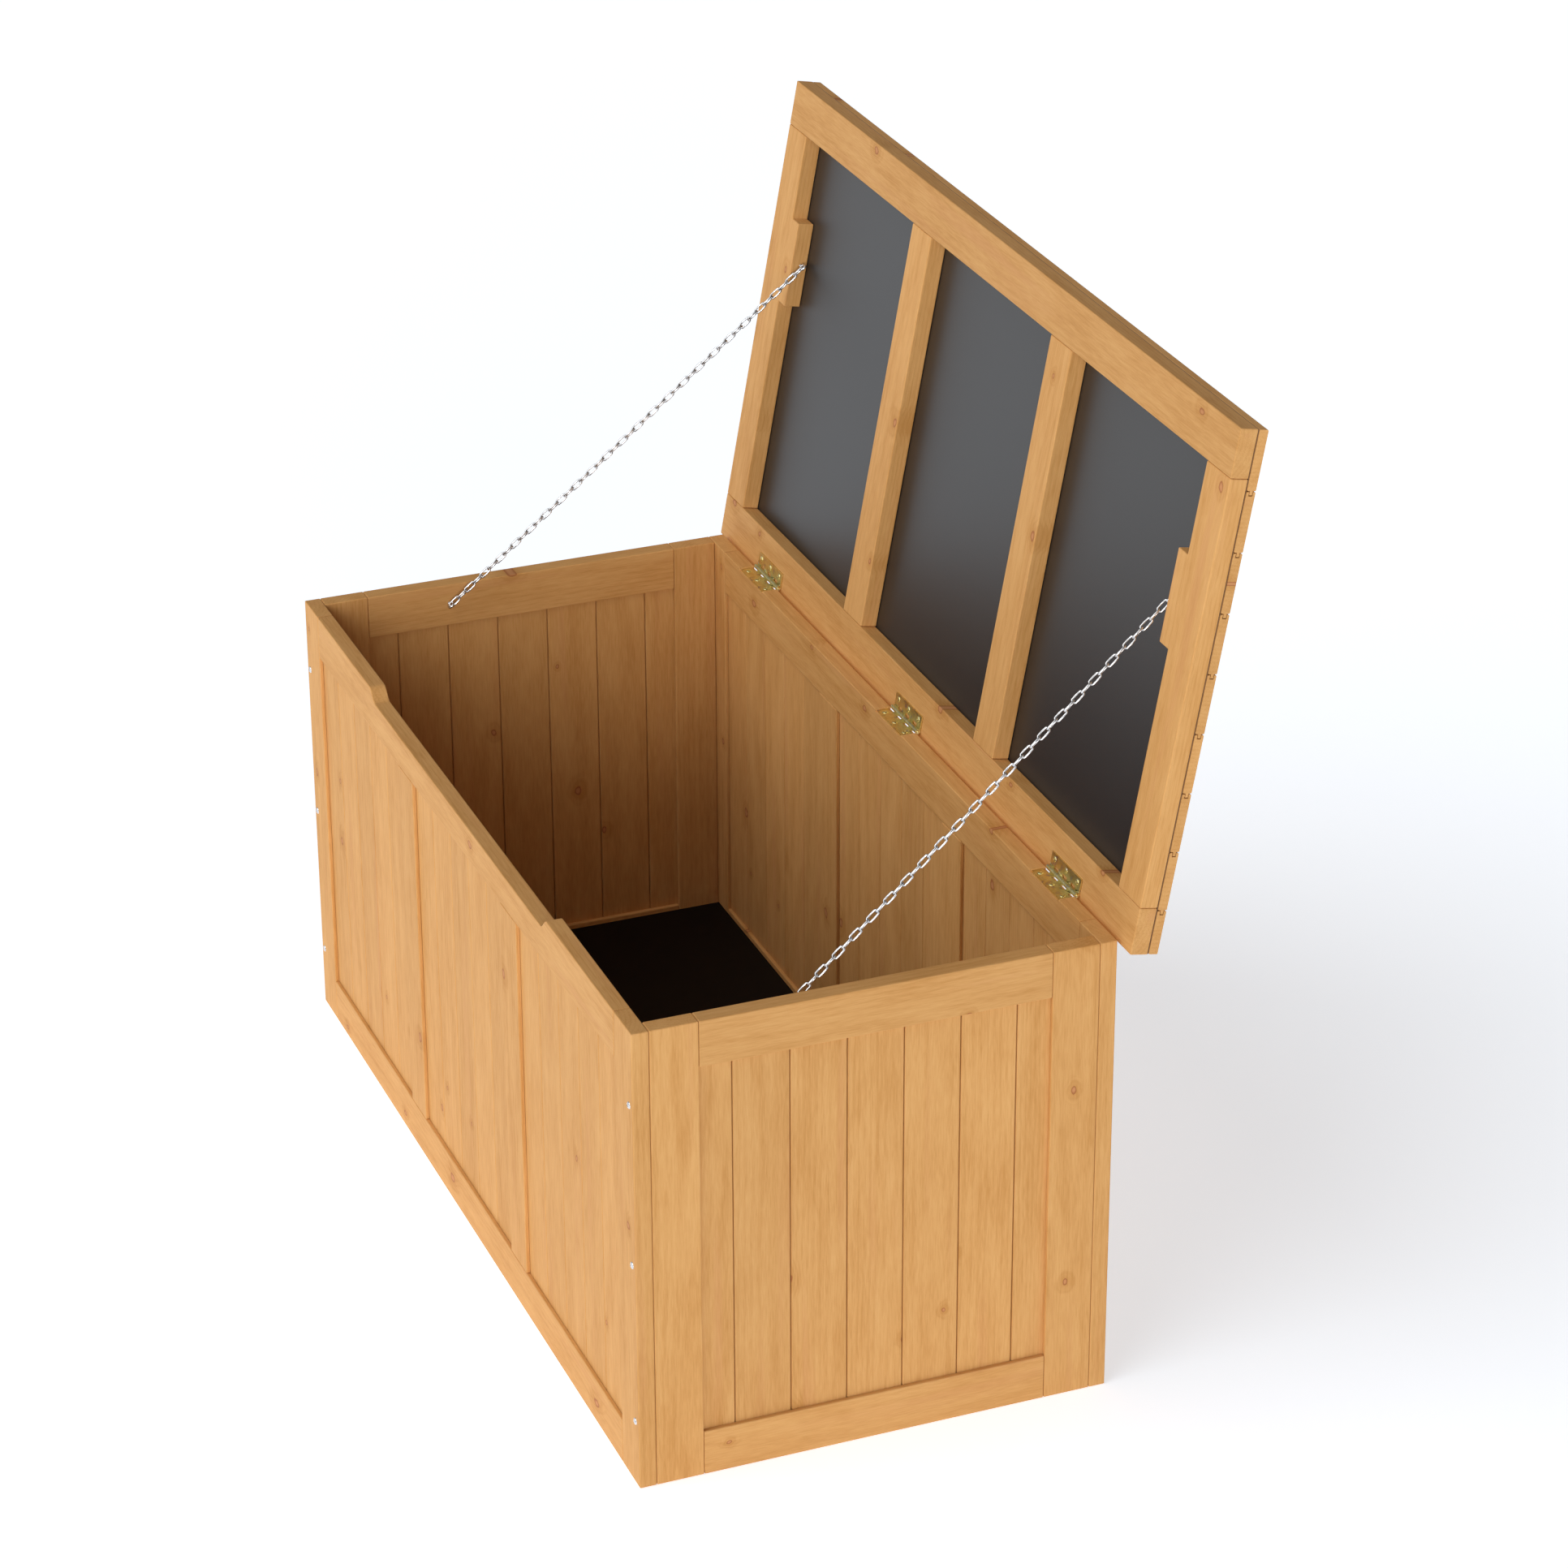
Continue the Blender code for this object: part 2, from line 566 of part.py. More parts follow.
def eye_mesh(name, sign):
    """A screw eye with its wood face at X = 0: a wire ring standing off on a shank."""
    centre = EYE_STANDOFF
    ring = bpy.data.meshes.new(name)
    bm = bmesh.new()
    loops = []
    for k in range(EYE_RING_STEPS):
        around = 2 * math.pi * k / EYE_RING_STEPS
        loop = []
        for n in range(EYE_WIRE_STEPS):
            tube = 2 * math.pi * n / EYE_WIRE_STEPS
            out = EYE_RING_RADIUS + EYE_WIRE_RADIUS * math.cos(tube)
            loop.append(bm.verts.new((centre + out * math.cos(around), out * math.sin(around),
                                      EYE_WIRE_RADIUS * math.sin(tube))))
        loops.append(loop)
    for k, loop in enumerate(loops):
        following = loops[(k + 1) % EYE_RING_STEPS]
        for n in range(EYE_WIRE_STEPS):
            m = (n + 1) % EYE_WIRE_STEPS
            bm.faces.new((loop[n], loop[m], following[m], following[n]))
    bmesh.ops.recalc_face_normals(bm, faces=bm.faces)
    bm.to_mesh(ring)
    bm.free()
    shank = turned_mesh(name + "_shank", [(-EYE_SHANK_LENGTH, EYE_SHANK_RADIUS),
                                          (centre - EYE_RING_RADIUS, EYE_SHANK_RADIUS)], EYE_WIRE_STEPS)
    mesh = combined_mesh(name, ring, [shank], [])
    mesh.transform(Matrix.Rotation(math.pi if sign > 0 else 0.0, 4, "Z"))
    return mesh


def chain_length_mesh(name, length, pivot_gap):
    """A straight length of chain as a slim bar along X from its pivot, tapered at both ends."""
    end = length - CHAIN_PIVOT_GAP
    profile = [(pivot_gap, CHAIN_TIP_RADIUS), (pivot_gap + CHAIN_TAPER, CHAIN_RADIUS),
               (end - CHAIN_TAPER, CHAIN_RADIUS), (end, CHAIN_TIP_RADIUS)]
    return turned_mesh(name, profile, CHAIN_SIDES)


def build_stays(root, lid_axis):
    """Both chains and their four screw eyes."""
    bpy.context.view_layer.update()
    to_root = root.matrix_world.inverted()
    ring_reach = EYE_RING_RADIUS + EYE_WIRE_RADIUS + CHAIN_EYE_GAP
    total = sum(CHAIN_LINKS)
    for side, sign in SIDES:
        box_eye = box_eye_place(sign)
        lid_eye = lid_eye_place(sign)
        start = box_eye - Vector((sign * EYE_STANDOFF, 0, 0))
        lid_ring = lid_eye - Vector((sign * EYE_STANDOFF, 0, 0))
        stop = to_root @ lid_axis.matrix_world @ lid_ring
        pull = math.atan2(stop.z - start.z, stop.y - start.y)
        eye = add_object(f"chain_{side}_box_eye", eye_mesh(f"{side}_box_eye", sign),
                         zinc_material("zinc_wire"), root, box_eye)
        eye.rotation_euler = (pull, 0, 0)
        eye = add_object(f"chain_{side}_lid_eye", eye_mesh(f"{side}_lid_eye", sign),
                         zinc_material("zinc_wire"), lid_axis, lid_eye)
        eye.rotation_euler = (pull + LID_OPEN_ANGLE, 0, 0)
        step = Vector((sign * CHAIN_SIDE_STEP, 0, 0))
        slack_pivot = start.lerp(stop, CHAIN_LINKS[0] / total)
        knee = start.lerp(stop, (CHAIN_LINKS[0] + CHAIN_LINKS[1]) / total)
        for length_name, pivot, end, pivot_gap in (
                ("box_length", start, slack_pivot + step, ring_reach),
                ("middle_length", knee + step, slack_pivot - step, CHAIN_PIVOT_GAP),
                ("lid_length", stop, knee - step, ring_reach)):
            name = f"chain_{side}_{length_name}"
            mesh = chain_length_mesh(name, (end - pivot).length, pivot_gap)
            obj = add_object(name, mesh, zinc_material("zinc_chain"), root, pivot)
            obj.rotation_mode = "QUATERNION"
            obj.rotation_quaternion = (end - pivot).to_track_quat("X", "Z")


def main():
    """Builds the whole toy box."""
    for obj in list(bpy.data.objects):
        bpy.data.objects.remove(obj)
    root = add_empty("toy_box", location=(0, -OVERALL_DEPTH / 2, 0))
    box_axis = add_empty("hinge_axis", root, (0, AXIS_Y, BOX_HEIGHT))
    lid_axis = add_empty("lid_axis", root, (0, AXIS_Y, BOX_HEIGHT), turn_x=-LID_OPEN_ANGLE)
    build_walls(root)
    build_floor(root)
    build_lid(lid_axis)
    build_hinges(box_axis, lid_axis)
    build_stays(root, lid_axis)


main()
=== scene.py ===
"""Looks of a wooden toy box: stained fir frames and boards, a lined lid on butt hinges, two chain stays.

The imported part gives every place. New pieces are modelled round it: single tongue-and-groove boards, chain
links, hinge leaves, screws and screw eyes. Metres, +Z up, +Y to the back.
"""

import json
import logging
import math
import random
from collections.abc import Callable
from dataclasses import dataclass, field
from enum import Enum

import bmesh
import bpy
from mathutils import Matrix, Vector


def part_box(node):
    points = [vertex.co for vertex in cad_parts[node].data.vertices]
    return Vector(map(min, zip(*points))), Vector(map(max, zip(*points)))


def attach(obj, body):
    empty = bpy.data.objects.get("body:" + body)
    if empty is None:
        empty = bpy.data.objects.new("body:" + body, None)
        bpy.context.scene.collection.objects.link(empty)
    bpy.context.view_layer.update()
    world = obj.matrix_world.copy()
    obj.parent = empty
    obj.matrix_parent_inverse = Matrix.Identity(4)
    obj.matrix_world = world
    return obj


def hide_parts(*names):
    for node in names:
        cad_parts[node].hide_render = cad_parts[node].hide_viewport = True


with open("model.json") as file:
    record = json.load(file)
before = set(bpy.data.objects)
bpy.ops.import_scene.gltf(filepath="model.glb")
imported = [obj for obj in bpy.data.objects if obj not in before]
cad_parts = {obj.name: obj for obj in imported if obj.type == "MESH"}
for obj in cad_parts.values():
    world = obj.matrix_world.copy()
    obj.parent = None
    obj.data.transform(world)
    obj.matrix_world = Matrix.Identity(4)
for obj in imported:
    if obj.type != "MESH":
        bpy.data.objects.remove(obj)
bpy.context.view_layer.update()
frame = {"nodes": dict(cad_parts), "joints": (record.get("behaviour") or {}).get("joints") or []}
LOG = logging.getLogger("toy_box")
MM = 0.001

Piece = bpy.types.Object
Finish = bpy.types.Material
Tree = bpy.types.NodeTree
Node = bpy.types.Node
Socket = bpy.types.NodeSocket
Stops = tuple[tuple[float, str], ...]
Pair = tuple[float, float]
Triple = tuple[float, float, float]

HINGE = next(joint for joint in frame["joints"] if joint["name"] == "lid_hinge")
HINGE_POINT = Vector(HINGE["pos_m"])
OPEN_ANGLE = math.radians(HINGE["range_deg"][1])
LID_ALONG_STILES = (0.0, -math.cos(OPEN_ANGLE), math.sin(OPEN_ANGLE))
LID_OUTWARD = (0.0, math.sin(OPEN_ANGLE), math.cos(OPEN_ANGLE))


# ---------------- modelling by hand

def clear_selection() -> None:
    """Leave nothing selected, so that an operator touches only what is chosen next."""
    for obj in list(bpy.context.selected_objects):
        obj.select_set(False)


def activate(obj: Piece) -> None:
    """Make one object the only selected and the active one.

    Args:
        obj: The object.
    """
    clear_selection()
    obj.select_set(True)
    bpy.context.view_layer.objects.active = obj


def choose(obj: Piece, mode: str, wanted: Callable) -> None:
    """Select the vertices, edges or faces of the mesh in edit mode that pass a test.

    Args:
        obj: The object in edit mode.
        mode: VERT, EDGE or FACE.
        wanted: Takes one element and says whether it is selected.
    """
    mesh = bmesh.from_edit_mesh(obj.data)
    groups = {"VERT": mesh.verts, "EDGE": mesh.edges, "FACE": mesh.faces}
    bpy.context.tool_settings.mesh_select_mode = tuple(mode == kind for kind in groups)
    for group in groups.values():
        for element in group:
            element.select = False
    for element in [element for element in groups[mode] if wanted(element)]:
        element.select_set(True)
    mesh.select_flush_mode()
    bmesh.update_edit_mesh(obj.data)


def name_active(name: str) -> Piece:
    """Name the piece that an operator has just added, and its mesh.

    Args:
        name: The name.

    Returns:
        The piece.
    """
    obj = bpy.context.active_object
    obj.name = obj.data.name = name
    return obj


def new_block(name: str, size: Triple, centre: Triple = (0, 0, 0)) -> Piece:
    """Start a piece from a cube stretched to a size in edit mode, and leave it in edit mode.

    Args:
        name: Name of the piece.
        size: Lengths along X, Y and Z.
        centre: Middle of the block.

    Returns:
        The object, at the origin, with its place in its mesh.
    """
    clear_selection()
    bpy.ops.mesh.primitive_cube_add(size=1, location=(0, 0, 0))
    obj = name_active(name)
    bpy.ops.object.mode_set(mode="EDIT")
    bpy.ops.mesh.select_all(action="SELECT")
    bpy.ops.transform.resize(value=size, center_override=(0, 0, 0))
    bpy.ops.transform.translate(value=centre)
    return obj


def new_rod(name: str, radius: float, length: float, sides: int, x: float = 0.0) -> Piece:
    """Start a piece from a cylinder lying along X, and leave it in edit mode.

    Args:
        name: Name of the piece.
        radius: Of the rod.
        length: Of the rod.
        sides: Round the rod.
        x: Place of its middle along X.

    Returns:
        The object, at the origin.
    """
    clear_selection()
    bpy.ops.mesh.primitive_cylinder_add(radius=radius, depth=length, vertices=sides, location=(0, 0, 0))
    obj = name_active(name)
    obj.data.transform(Matrix.Rotation(math.pi / 2, 4, "Y"))
    bpy.ops.object.mode_set(mode="EDIT")
    bpy.ops.mesh.select_all(action="SELECT")
    bpy.ops.transform.translate(value=(x, 0, 0))
    return obj


def finish_piece(obj: Piece, smooth_degrees: float = 30.0) -> Piece:
    """Leave edit mode with normals outwards and soft edges shaded smooth.

    Args:
        obj: The piece.
        smooth_degrees: Edges that turn less than this are shaded smooth.

    Returns:
        The same piece.
    """
    if obj.mode != "EDIT":
        activate(obj)
        bpy.ops.object.mode_set(mode="EDIT")
    bpy.ops.mesh.select_all(action="SELECT")
    bpy.ops.mesh.normals_make_consistent(inside=False)
    bpy.ops.object.mode_set(mode="OBJECT")
    activate(obj)
    bpy.ops.object.shade_smooth_by_angle(angle=math.radians(smooth_degrees))
    return obj


def apply_boolean(obj: Piece, tool: Piece, operation: str) -> None:
    """Join a tool body to a piece or cut it away, and remove the tool.

    Args:
        obj: The piece.
        tool: The tool body, finished here.
        operation: UNION or DIFFERENCE.
    """
    finish_piece(tool)
    activate(obj)
    cut = obj.modifiers.new("cut", "BOOLEAN")
    cut.operation = operation
    cut.solver = "EXACT"
    cut.object = tool
    bpy.ops.object.modifier_apply(modifier=cut.name)
    bpy.data.objects.remove(tool)


def round_over(obj: Piece, width: float, segments: int, degrees: float) -> None:
    """Round every sharp edge of a finished mesh.

    Args:
        obj: The piece.
        width: Of the rounding.
        segments: Across the rounding.
        degrees: Edges that turn more than this are rounded.
    """
    activate(obj)
    bevel = obj.modifiers.new("round", "BEVEL")
    bevel.width = width
    bevel.segments = segments
    bevel.limit_method = "ANGLE"
    bevel.angle_limit = math.radians(degrees)
    bpy.ops.object.modifier_apply(modifier=bevel.name)


def copy_piece(master: Piece, name: str, place: Matrix) -> Piece:
    """Copy a master with its own mesh, its place in its mesh.

    Args:
        master: The modelled piece.
        name: Name of the copy.
        place: Turns the master's own frame into the row frame, without mirroring.

    Returns:
        The copy, at the origin.
    """
    mesh = master.data.copy()
    mesh.name = name
    mesh.transform(place)
    copy = bpy.data.objects.new(name, mesh)
    bpy.context.scene.collection.objects.link(copy)
    return copy


def retire(*masters: Piece) -> None:
    """Remove masters once their copies are made."""
    for master in masters:
        bpy.data.objects.remove(master)


def set_finish(obj: Piece, material: Finish) -> None:
    """Give a piece one finish all over."""
    obj.data.materials.clear()
    obj.data.materials.append(material)


def dress(obj: Piece, material: Finish, body: str) -> None:
    """Make a new piece part of the object.

    Args:
        obj: The piece.
        material: Its finish.
        body: The body it rides on.
    """
    set_finish(obj, material)
    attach(obj, body)


# ---------------- finishes

def srgb(colour: str) -> tuple[float, float, float, float]:
    """Turn an sRGB hex value, such as #FFFFFF, into linear RGBA."""
    parts = [int(colour[i:i + 2], 16) / 255 for i in (1, 3, 5)]
    return (*[p / 12.92 if p <= 0.04045 else ((p + 0.055) / 1.055) ** 2.4 for p in parts], 1.0)


def feed(tree: Tree, node: Node, inputs: dict) -> None:
    """Set or link a node's inputs.

    Args:
        tree: The node tree.
        node: The node.
        inputs: Values, sockets, or nodes for their first output, by the input's name or number.
    """
    for key, value in inputs.items():
        if isinstance(value, Node):
            value = value.outputs[0]
        if isinstance(value, Socket):
            tree.links.new(value, node.inputs[key])
        else:
            node.inputs[key].default_value = value


def add_node(tree: Tree, kind: str, inputs: dict | None = None, **settings) -> Node:
    """Add one shader node.

    Args:
        tree: The material's node tree.
        kind: Node type without its ShaderNode prefix.
        inputs: What feed takes.
        **settings: Properties of the node.

    Returns:
        The node.
    """
    node = tree.nodes.new("ShaderNode" + kind)
    for key, value in settings.items():
        setattr(node, key, value)
    feed(tree, node, inputs or {})
    return node


def set_ramp(node: Node, stops: Stops) -> None:
    """Set the stops of a colour ramp.

    Args:
        node: The ramp.
        stops: Places and sRGB hex values.
    """
    ramp = node.color_ramp
    while len(ramp.elements) < len(stops):
        ramp.elements.new(0.5)
    for element, (place, colour) in zip(ramp.elements, stops):
        element.position = place
        element.color = srgb(colour)


def new_material(name: str) -> tuple[Finish, Tree, Node]:
    """Make an empty node material.

    Args:
        name: Name of the material.

    Returns:
        The material, its tree and its Principled shader.
    """
    material = bpy.data.materials.new(name)
    material.use_nodes = True
    tree = material.node_tree
    return material, tree, tree.nodes["Principled BSDF"]


def add_clouds(tree: Tree, where: Socket, size: float, detail: float, stops: Stops, roughness: Pair,
               swirl: float = 0.0) -> tuple[Socket, Socket, Socket]:
    """Cover a surface with soft clouds that vary its colour and its roughness.

    Args:
        tree: The material's node tree.
        where: Object coordinates.
        size: Of a cloud.
        detail: Finer layers on the clouds.
        stops: Places and sRGB hex values of the colours.
        roughness: At one end of the clouds and at the other.
        swirl: How much the clouds curl.

    Returns:
        The clouds, their colour and their roughness.
    """
    clouds = add_node(tree, "TexNoise", {"Vector": where, "Scale": 1 / size, "Detail": detail,
                                         "Distortion": swirl}).outputs[0]
    ramp = add_node(tree, "ValToRGB", {0: clouds})
    set_ramp(ramp, stops)
    rough = add_node(tree, "MapRange", {"Value": clouds, "To Min": roughness[0], "To Max": roughness[1]})
    return clouds, ramp.outputs[0], rough.outputs[0]


class Grain(Enum):
    """How the fir runs in a piece: across its wide face, through it, and along the grain."""

    LONG_WALL_UPRIGHT = ((1, 0, 0), (0, 1, 0), (0, 0, 1))
    END_WALL_UPRIGHT = ((0, 1, 0), (-1, 0, 0), (0, 0, 1))
    LONG_WALL_RAIL = ((0, 0, 1), (0, -1, 0), (1, 0, 0))
    END_WALL_RAIL = ((0, 0, 1), (1, 0, 0), (0, 1, 0))
    CLEAT = ((0, 1, 0), (0, 0, 1), (1, 0, 0))
    LID_STILE = ((1, 0, 0), LID_OUTWARD, LID_ALONG_STILES)
    LID_RAIL = (LID_ALONG_STILES, tuple(-c for c in LID_OUTWARD), (1, 0, 0))

    def matrix(self) -> Matrix:
        """Turn a point of the row frame into across, through and along."""
        return Matrix(self.value)


@dataclass(frozen=True)
class StainedFir:
    """Flat-sawn fir, planed, stained honey and sealed with a thin satin lacquer.

    The eye sees fine upright fibre, faint growth rings that drift and arch, a few small red-brown knots with
    the grain flowing round them, and a soft low sheen. The fibre is drawn as coarse as it needs to show.
    Streaks are given as their count in a metre across the grain, the share of it along, and their detail.
    """

    light: str = "#DCA869"
    middle: str = "#D59F60"
    dark: str = "#C68E4E"
    stops: Triple = (0.42, 0.60, 0.86)
    fibre: Triple = (1 / (1.3 * MM), 0.075, 5.0)
    fibre_share: float = 0.61
    grit: float = 0.55
    broad: Triple = (58.0, 0.17, 2.0)
    broad_share: float = 0.56
    blush: str = "#D0935F"
    blush_patch: Triple = (60.0, 0.05, 1.0)
    blush_edge: Pair = (0.60, 0.78)
    blush_share: float = 0.35
    ring_spacing: float = 4.2 * MM
    ring_share: float = 0.07
    ring_drift: float = 14 * MM
    drift_counts: Triple = (9.0, 9.0, 2.4)
    early_wood: float = -0.4
    knot_rim: str = "#A9683C"
    knot_heart: str = "#C98D5C"
    knot_shade: float = 0.22
    knot_push: float = 7 * MM
    knot_scale: float = 13.0
    knot_scatter: float = 0.9
    knot_share: float = 0.42
    knot_radius: float = 3.9 * MM
    knot_sizes: Pair = (0.45, 1.25)
    knot_stretch: float = 0.72
    knot_wobble: float = 5 * MM
    wobble_scale: float = 110.0
    knot_edges: tuple[Pair, ...] = ((0.80, 1.05), (0.6, 4.2), (0.35, 0.85))
    pith_side: float = 0.030
    pith_depth: Pair = (0.022, 0.060)
    log_half: float = 9.0
    tone_spread: float = 0.045
    sheen: Pair = (0.55, 0.68)
    relief: float = 0.12 * MM
    relief_strength: float = 0.35
    gloss: float = 0.16

    def shift(self, grain: Grain, centre: Vector, seed: int) -> tuple[Vector, float]:
        """Choose where a piece is cut from its log.

        Args:
            grain: How the wood runs in the piece.
            centre: Middle of the piece in the row frame.
            seed: Makes each piece its own.

        Returns:
            The move from across, through and along to the log's own frame, and the piece's tone.
        """
        draw = random.Random(seed)
        side = draw.choice((-1, 1))
        pith = Vector((draw.uniform(-self.pith_side, self.pith_side), side * draw.uniform(*self.pith_depth),
                       draw.uniform(-self.log_half, self.log_half)))
        tone = 1.0 + draw.uniform(-self.tone_spread, self.tone_spread)
        return pith - grain.matrix() @ centre, tone

    def material(self, name: str, grain: Grain, shift: Vector | None = None, tone: float = 1.0) -> Finish:
        """Build the wood.

        Args:
            name: Name of the material.
            grain: How the wood runs in the piece.
            shift: The piece's place in its log, or None where each board holds its own in an attribute.
            tone: The piece's brightness, used with a shift.

        Returns:
            The material.
        """
        material, tree, shader = new_material(name)
        where = add_node(tree, "TexCoord").outputs["Object"]
        log = add_node(tree, "Mapping", {"Vector": where, "Rotation": grain.matrix().to_euler()})
        if shift is None:
            own = add_node(tree, "Attribute", attribute_name="log_place")
            moved = add_node(tree, "VectorMath", {0: log, 1: own.outputs["Color"]},
                             operation="ADD").outputs[0]
            own_tone = own.outputs["Alpha"]
        else:
            log.inputs["Location"].default_value = shift
            moved = log.outputs[0]
            own_tone = tone
        parts = add_node(tree, "SeparateXYZ", {0: moved})
        knots, knot_near, knot_core = self.knots(tree, parts)
        rings = self.rings(tree, moved, parts, knot_near)
        fibre = self.streaks(tree, moved, *self.fibre)
        broad = self.streaks(tree, moved, *self.broad)
        mixed = add_node(tree, "Math", {0: rings, 1: self.ring_share}, operation="MULTIPLY").outputs[0]
        shares = ((fibre, self.fibre_share), (broad, self.broad_share), (knot_near, self.knot_shade))
        for part, share in shares:
            mixed = add_node(tree, "Math", {0: part, 1: share, 2: mixed}, operation="MULTIPLY_ADD").outputs[0]
        ramp = add_node(tree, "ValToRGB", {0: mixed})
        set_ramp(ramp, tuple(zip(self.stops, (self.light, self.middle, self.dark))))
        blush = add_node(tree, "MapRange", {"Value": self.streaks(tree, moved, *self.blush_patch),
                                            "From Min": self.blush_edge[0], "From Max": self.blush_edge[1],
                                            "To Max": self.blush_share})
        colour = self.blend(tree, blush.outputs[0], ramp.outputs[0], srgb(self.blush))
        heart = self.blend(tree, knot_core, srgb(self.knot_rim), srgb(self.knot_heart))
        colour = self.blend(tree, knots, colour, heart)
        toned = add_node(tree, "VectorMath", {0: colour, "Scale": own_tone}, operation="SCALE")
        sheen = add_node(tree, "MapRange", {"Value": fibre, "To Min": self.sheen[0], "To Max": self.sheen[1]})
        relief = add_node(tree, "Math", {0: fibre, 1: rings}, operation="ADD")
        bump = add_node(tree, "Bump", {"Strength": self.relief_strength, "Distance": self.relief,
                                       "Height": relief})
        feed(tree, shader, {"Base Color": toned, "Roughness": sheen, "Normal": bump,
                            "Specular IOR Level": self.gloss})
        return material

    def rings(self, tree: Tree, moved: Socket, parts: Node, knot_near: Socket) -> Socket:
        """Draw growth rings round the pith, drifting along the log and pushed aside by knots.

        Args:
            tree: The material's node tree.
            moved: The place in the log.
            parts: The same place, split.
            knot_near: A wide soft 1 round each knot.

        Returns:
            1 on late wood.
        """
        flat = add_node(tree, "CombineXYZ", {0: parts, 1: parts.outputs[1]})
        radius = add_node(tree, "VectorMath", {0: flat}, operation="LENGTH").outputs["Value"]
        slow = add_node(tree, "VectorMath", {0: moved, 1: self.drift_counts}, operation="MULTIPLY")
        drift = add_node(tree, "TexNoise", {"Vector": slow, "Scale": 1.0, "Detail": 2.0})
        for push, reach in ((drift, self.ring_drift), (knot_near, self.knot_push)):
            radius = add_node(tree, "Math", {0: push, 1: reach, 2: radius}, operation="MULTIPLY_ADD")
        turns = add_node(tree, "Math", {0: radius, 1: 2 * math.pi / self.ring_spacing}, operation="MULTIPLY")
        wave = add_node(tree, "Math", {0: turns}, operation="SINE")
        return add_node(tree, "MapRange", {"Value": wave, "From Min": self.early_wood},
                        interpolation_type="SMOOTHSTEP").outputs[0]

    def streaks(self, tree: Tree, moved: Socket, scale: float, along: float, detail: float) -> Socket:
        """Draw noise out along the grain.

        Args:
            tree: The material's node tree.
            moved: The place in the log.
            scale: Streaks in a metre across the grain.
            along: The share of them along it.
            detail: Finer layers on the streaks.

        Returns:
            The streaks.
        """
        drawn = add_node(tree, "VectorMath", {0: moved, 1: (scale, scale, scale * along)},
                         operation="MULTIPLY")
        return add_node(tree, "TexNoise", {"Vector": drawn, "Scale": 1.0, "Detail": detail,
                                           "Roughness": self.grit}).outputs[0]

    def knots(self, tree: Tree, parts: Node) -> tuple[Socket, Socket, Socket]:
        """Draw small knots running through the piece.

        Args:
            tree: The material's node tree.
            parts: The place in the log, split.

        Returns:
            1 inside a knot, a wide soft 1 around it, and 1 in its heart.
        """
        along = add_node(tree, "Math", {0: parts.outputs[2], 1: self.knot_stretch}, operation="MULTIPLY")
        face = add_node(tree, "CombineXYZ", {0: parts, 1: along})
        uneven = add_node(tree, "TexNoise", {"Vector": face, "Scale": self.wobble_scale, "Detail": 1.0})
        wobble = (self.knot_wobble, self.knot_wobble, 0)
        face = add_node(tree, "VectorMath", {0: uneven.outputs[1], 1: wobble, 2: face},
                        operation="MULTIPLY_ADD")
        cells = add_node(tree, "TexVoronoi", {"Vector": face, "Scale": self.knot_scale,
                                              "Randomness": self.knot_scatter}, voronoi_dimensions="2D")
        chance = add_node(tree, "SeparateColor", {0: cells.outputs["Color"]})
        present = add_node(tree, "Math", {0: chance, 1: self.knot_share}, operation="LESS_THAN")
        size = add_node(tree, "MapRange", {"Value": chance.outputs[1], "To Min": self.knot_sizes[0],
                                           "To Max": self.knot_sizes[1]})
        reach = add_node(tree, "Math", {0: cells.outputs["Distance"],
                                        1: self.knot_scale * self.knot_radius}, operation="DIVIDE")
        reach = add_node(tree, "Math", {0: reach, 1: size}, operation="DIVIDE")
        found = []
        for inner, outer in self.knot_edges:
            soft = add_node(tree, "MapRange", {"Value": reach, "From Min": inner, "From Max": outer,
                                               "To Min": 1.0, "To Max": 0.0}, interpolation_type="SMOOTHSTEP")
            found.append(add_node(tree, "Math", {0: soft, 1: present}, operation="MULTIPLY").outputs[0])
        return tuple(found)

    def blend(self, tree: Tree, share: Socket, first: object, second: object) -> Socket:
        """Mix two colours by a share."""
        return add_node(tree, "Mix", {0: share, 6: first, 7: second}, data_type="RGBA").outputs[2]


@dataclass(frozen=True)
class Plating:
    """A plated steel skin with soft clouds in its colour and its polish."""

    name: str
    stops: Stops
    cloud: float
    detail: float
    swirl: float
    roughness: Pair

    def material(self) -> Finish:
        """Build the plating.

        Returns:
            The material.
        """
        material, tree, shader = new_material(self.name)
        where = add_node(tree, "TexCoord").outputs["Object"]
        _, colour, rough = add_clouds(tree, where, self.cloud, self.detail, self.stops, self.roughness,
                                      self.swirl)
        feed(tree, shader, {"Base Color": colour, "Roughness": rough, "Metallic": 1.0})
        return material


@dataclass(frozen=True)
class PlatedWire(Plating):
    """Bright zinc-plated steel wire: a clear grey mirror, softened by fine drawing marks."""

    name: str = "bright_zinc_plated_steel"
    stops: Stops = ((0.35, "#CDCED0"), (0.65, "#F1F1F2"))
    cloud: float = 3 * MM
    detail: float = 3.0
    swirl: float = 0.0
    roughness: Pair = (0.18, 0.32)


@dataclass(frozen=True)
class YellowPassivate(Plating):
    """Pressed steel, zinc plated and yellow passivated: straw yellow with faint green and violet clouds."""

    name: str = "yellow_passivated_steel"
    stops: Stops = ((0.27, "#BDB2B8"), (0.40, "#E4D48F"), (0.58, "#F2E6A8"), (0.74, "#CFCF9C"))
    cloud: float = 7 * MM
    detail: float = 2.0
    swirl: float = 0.6
    roughness: Pair = (0.24, 0.40)


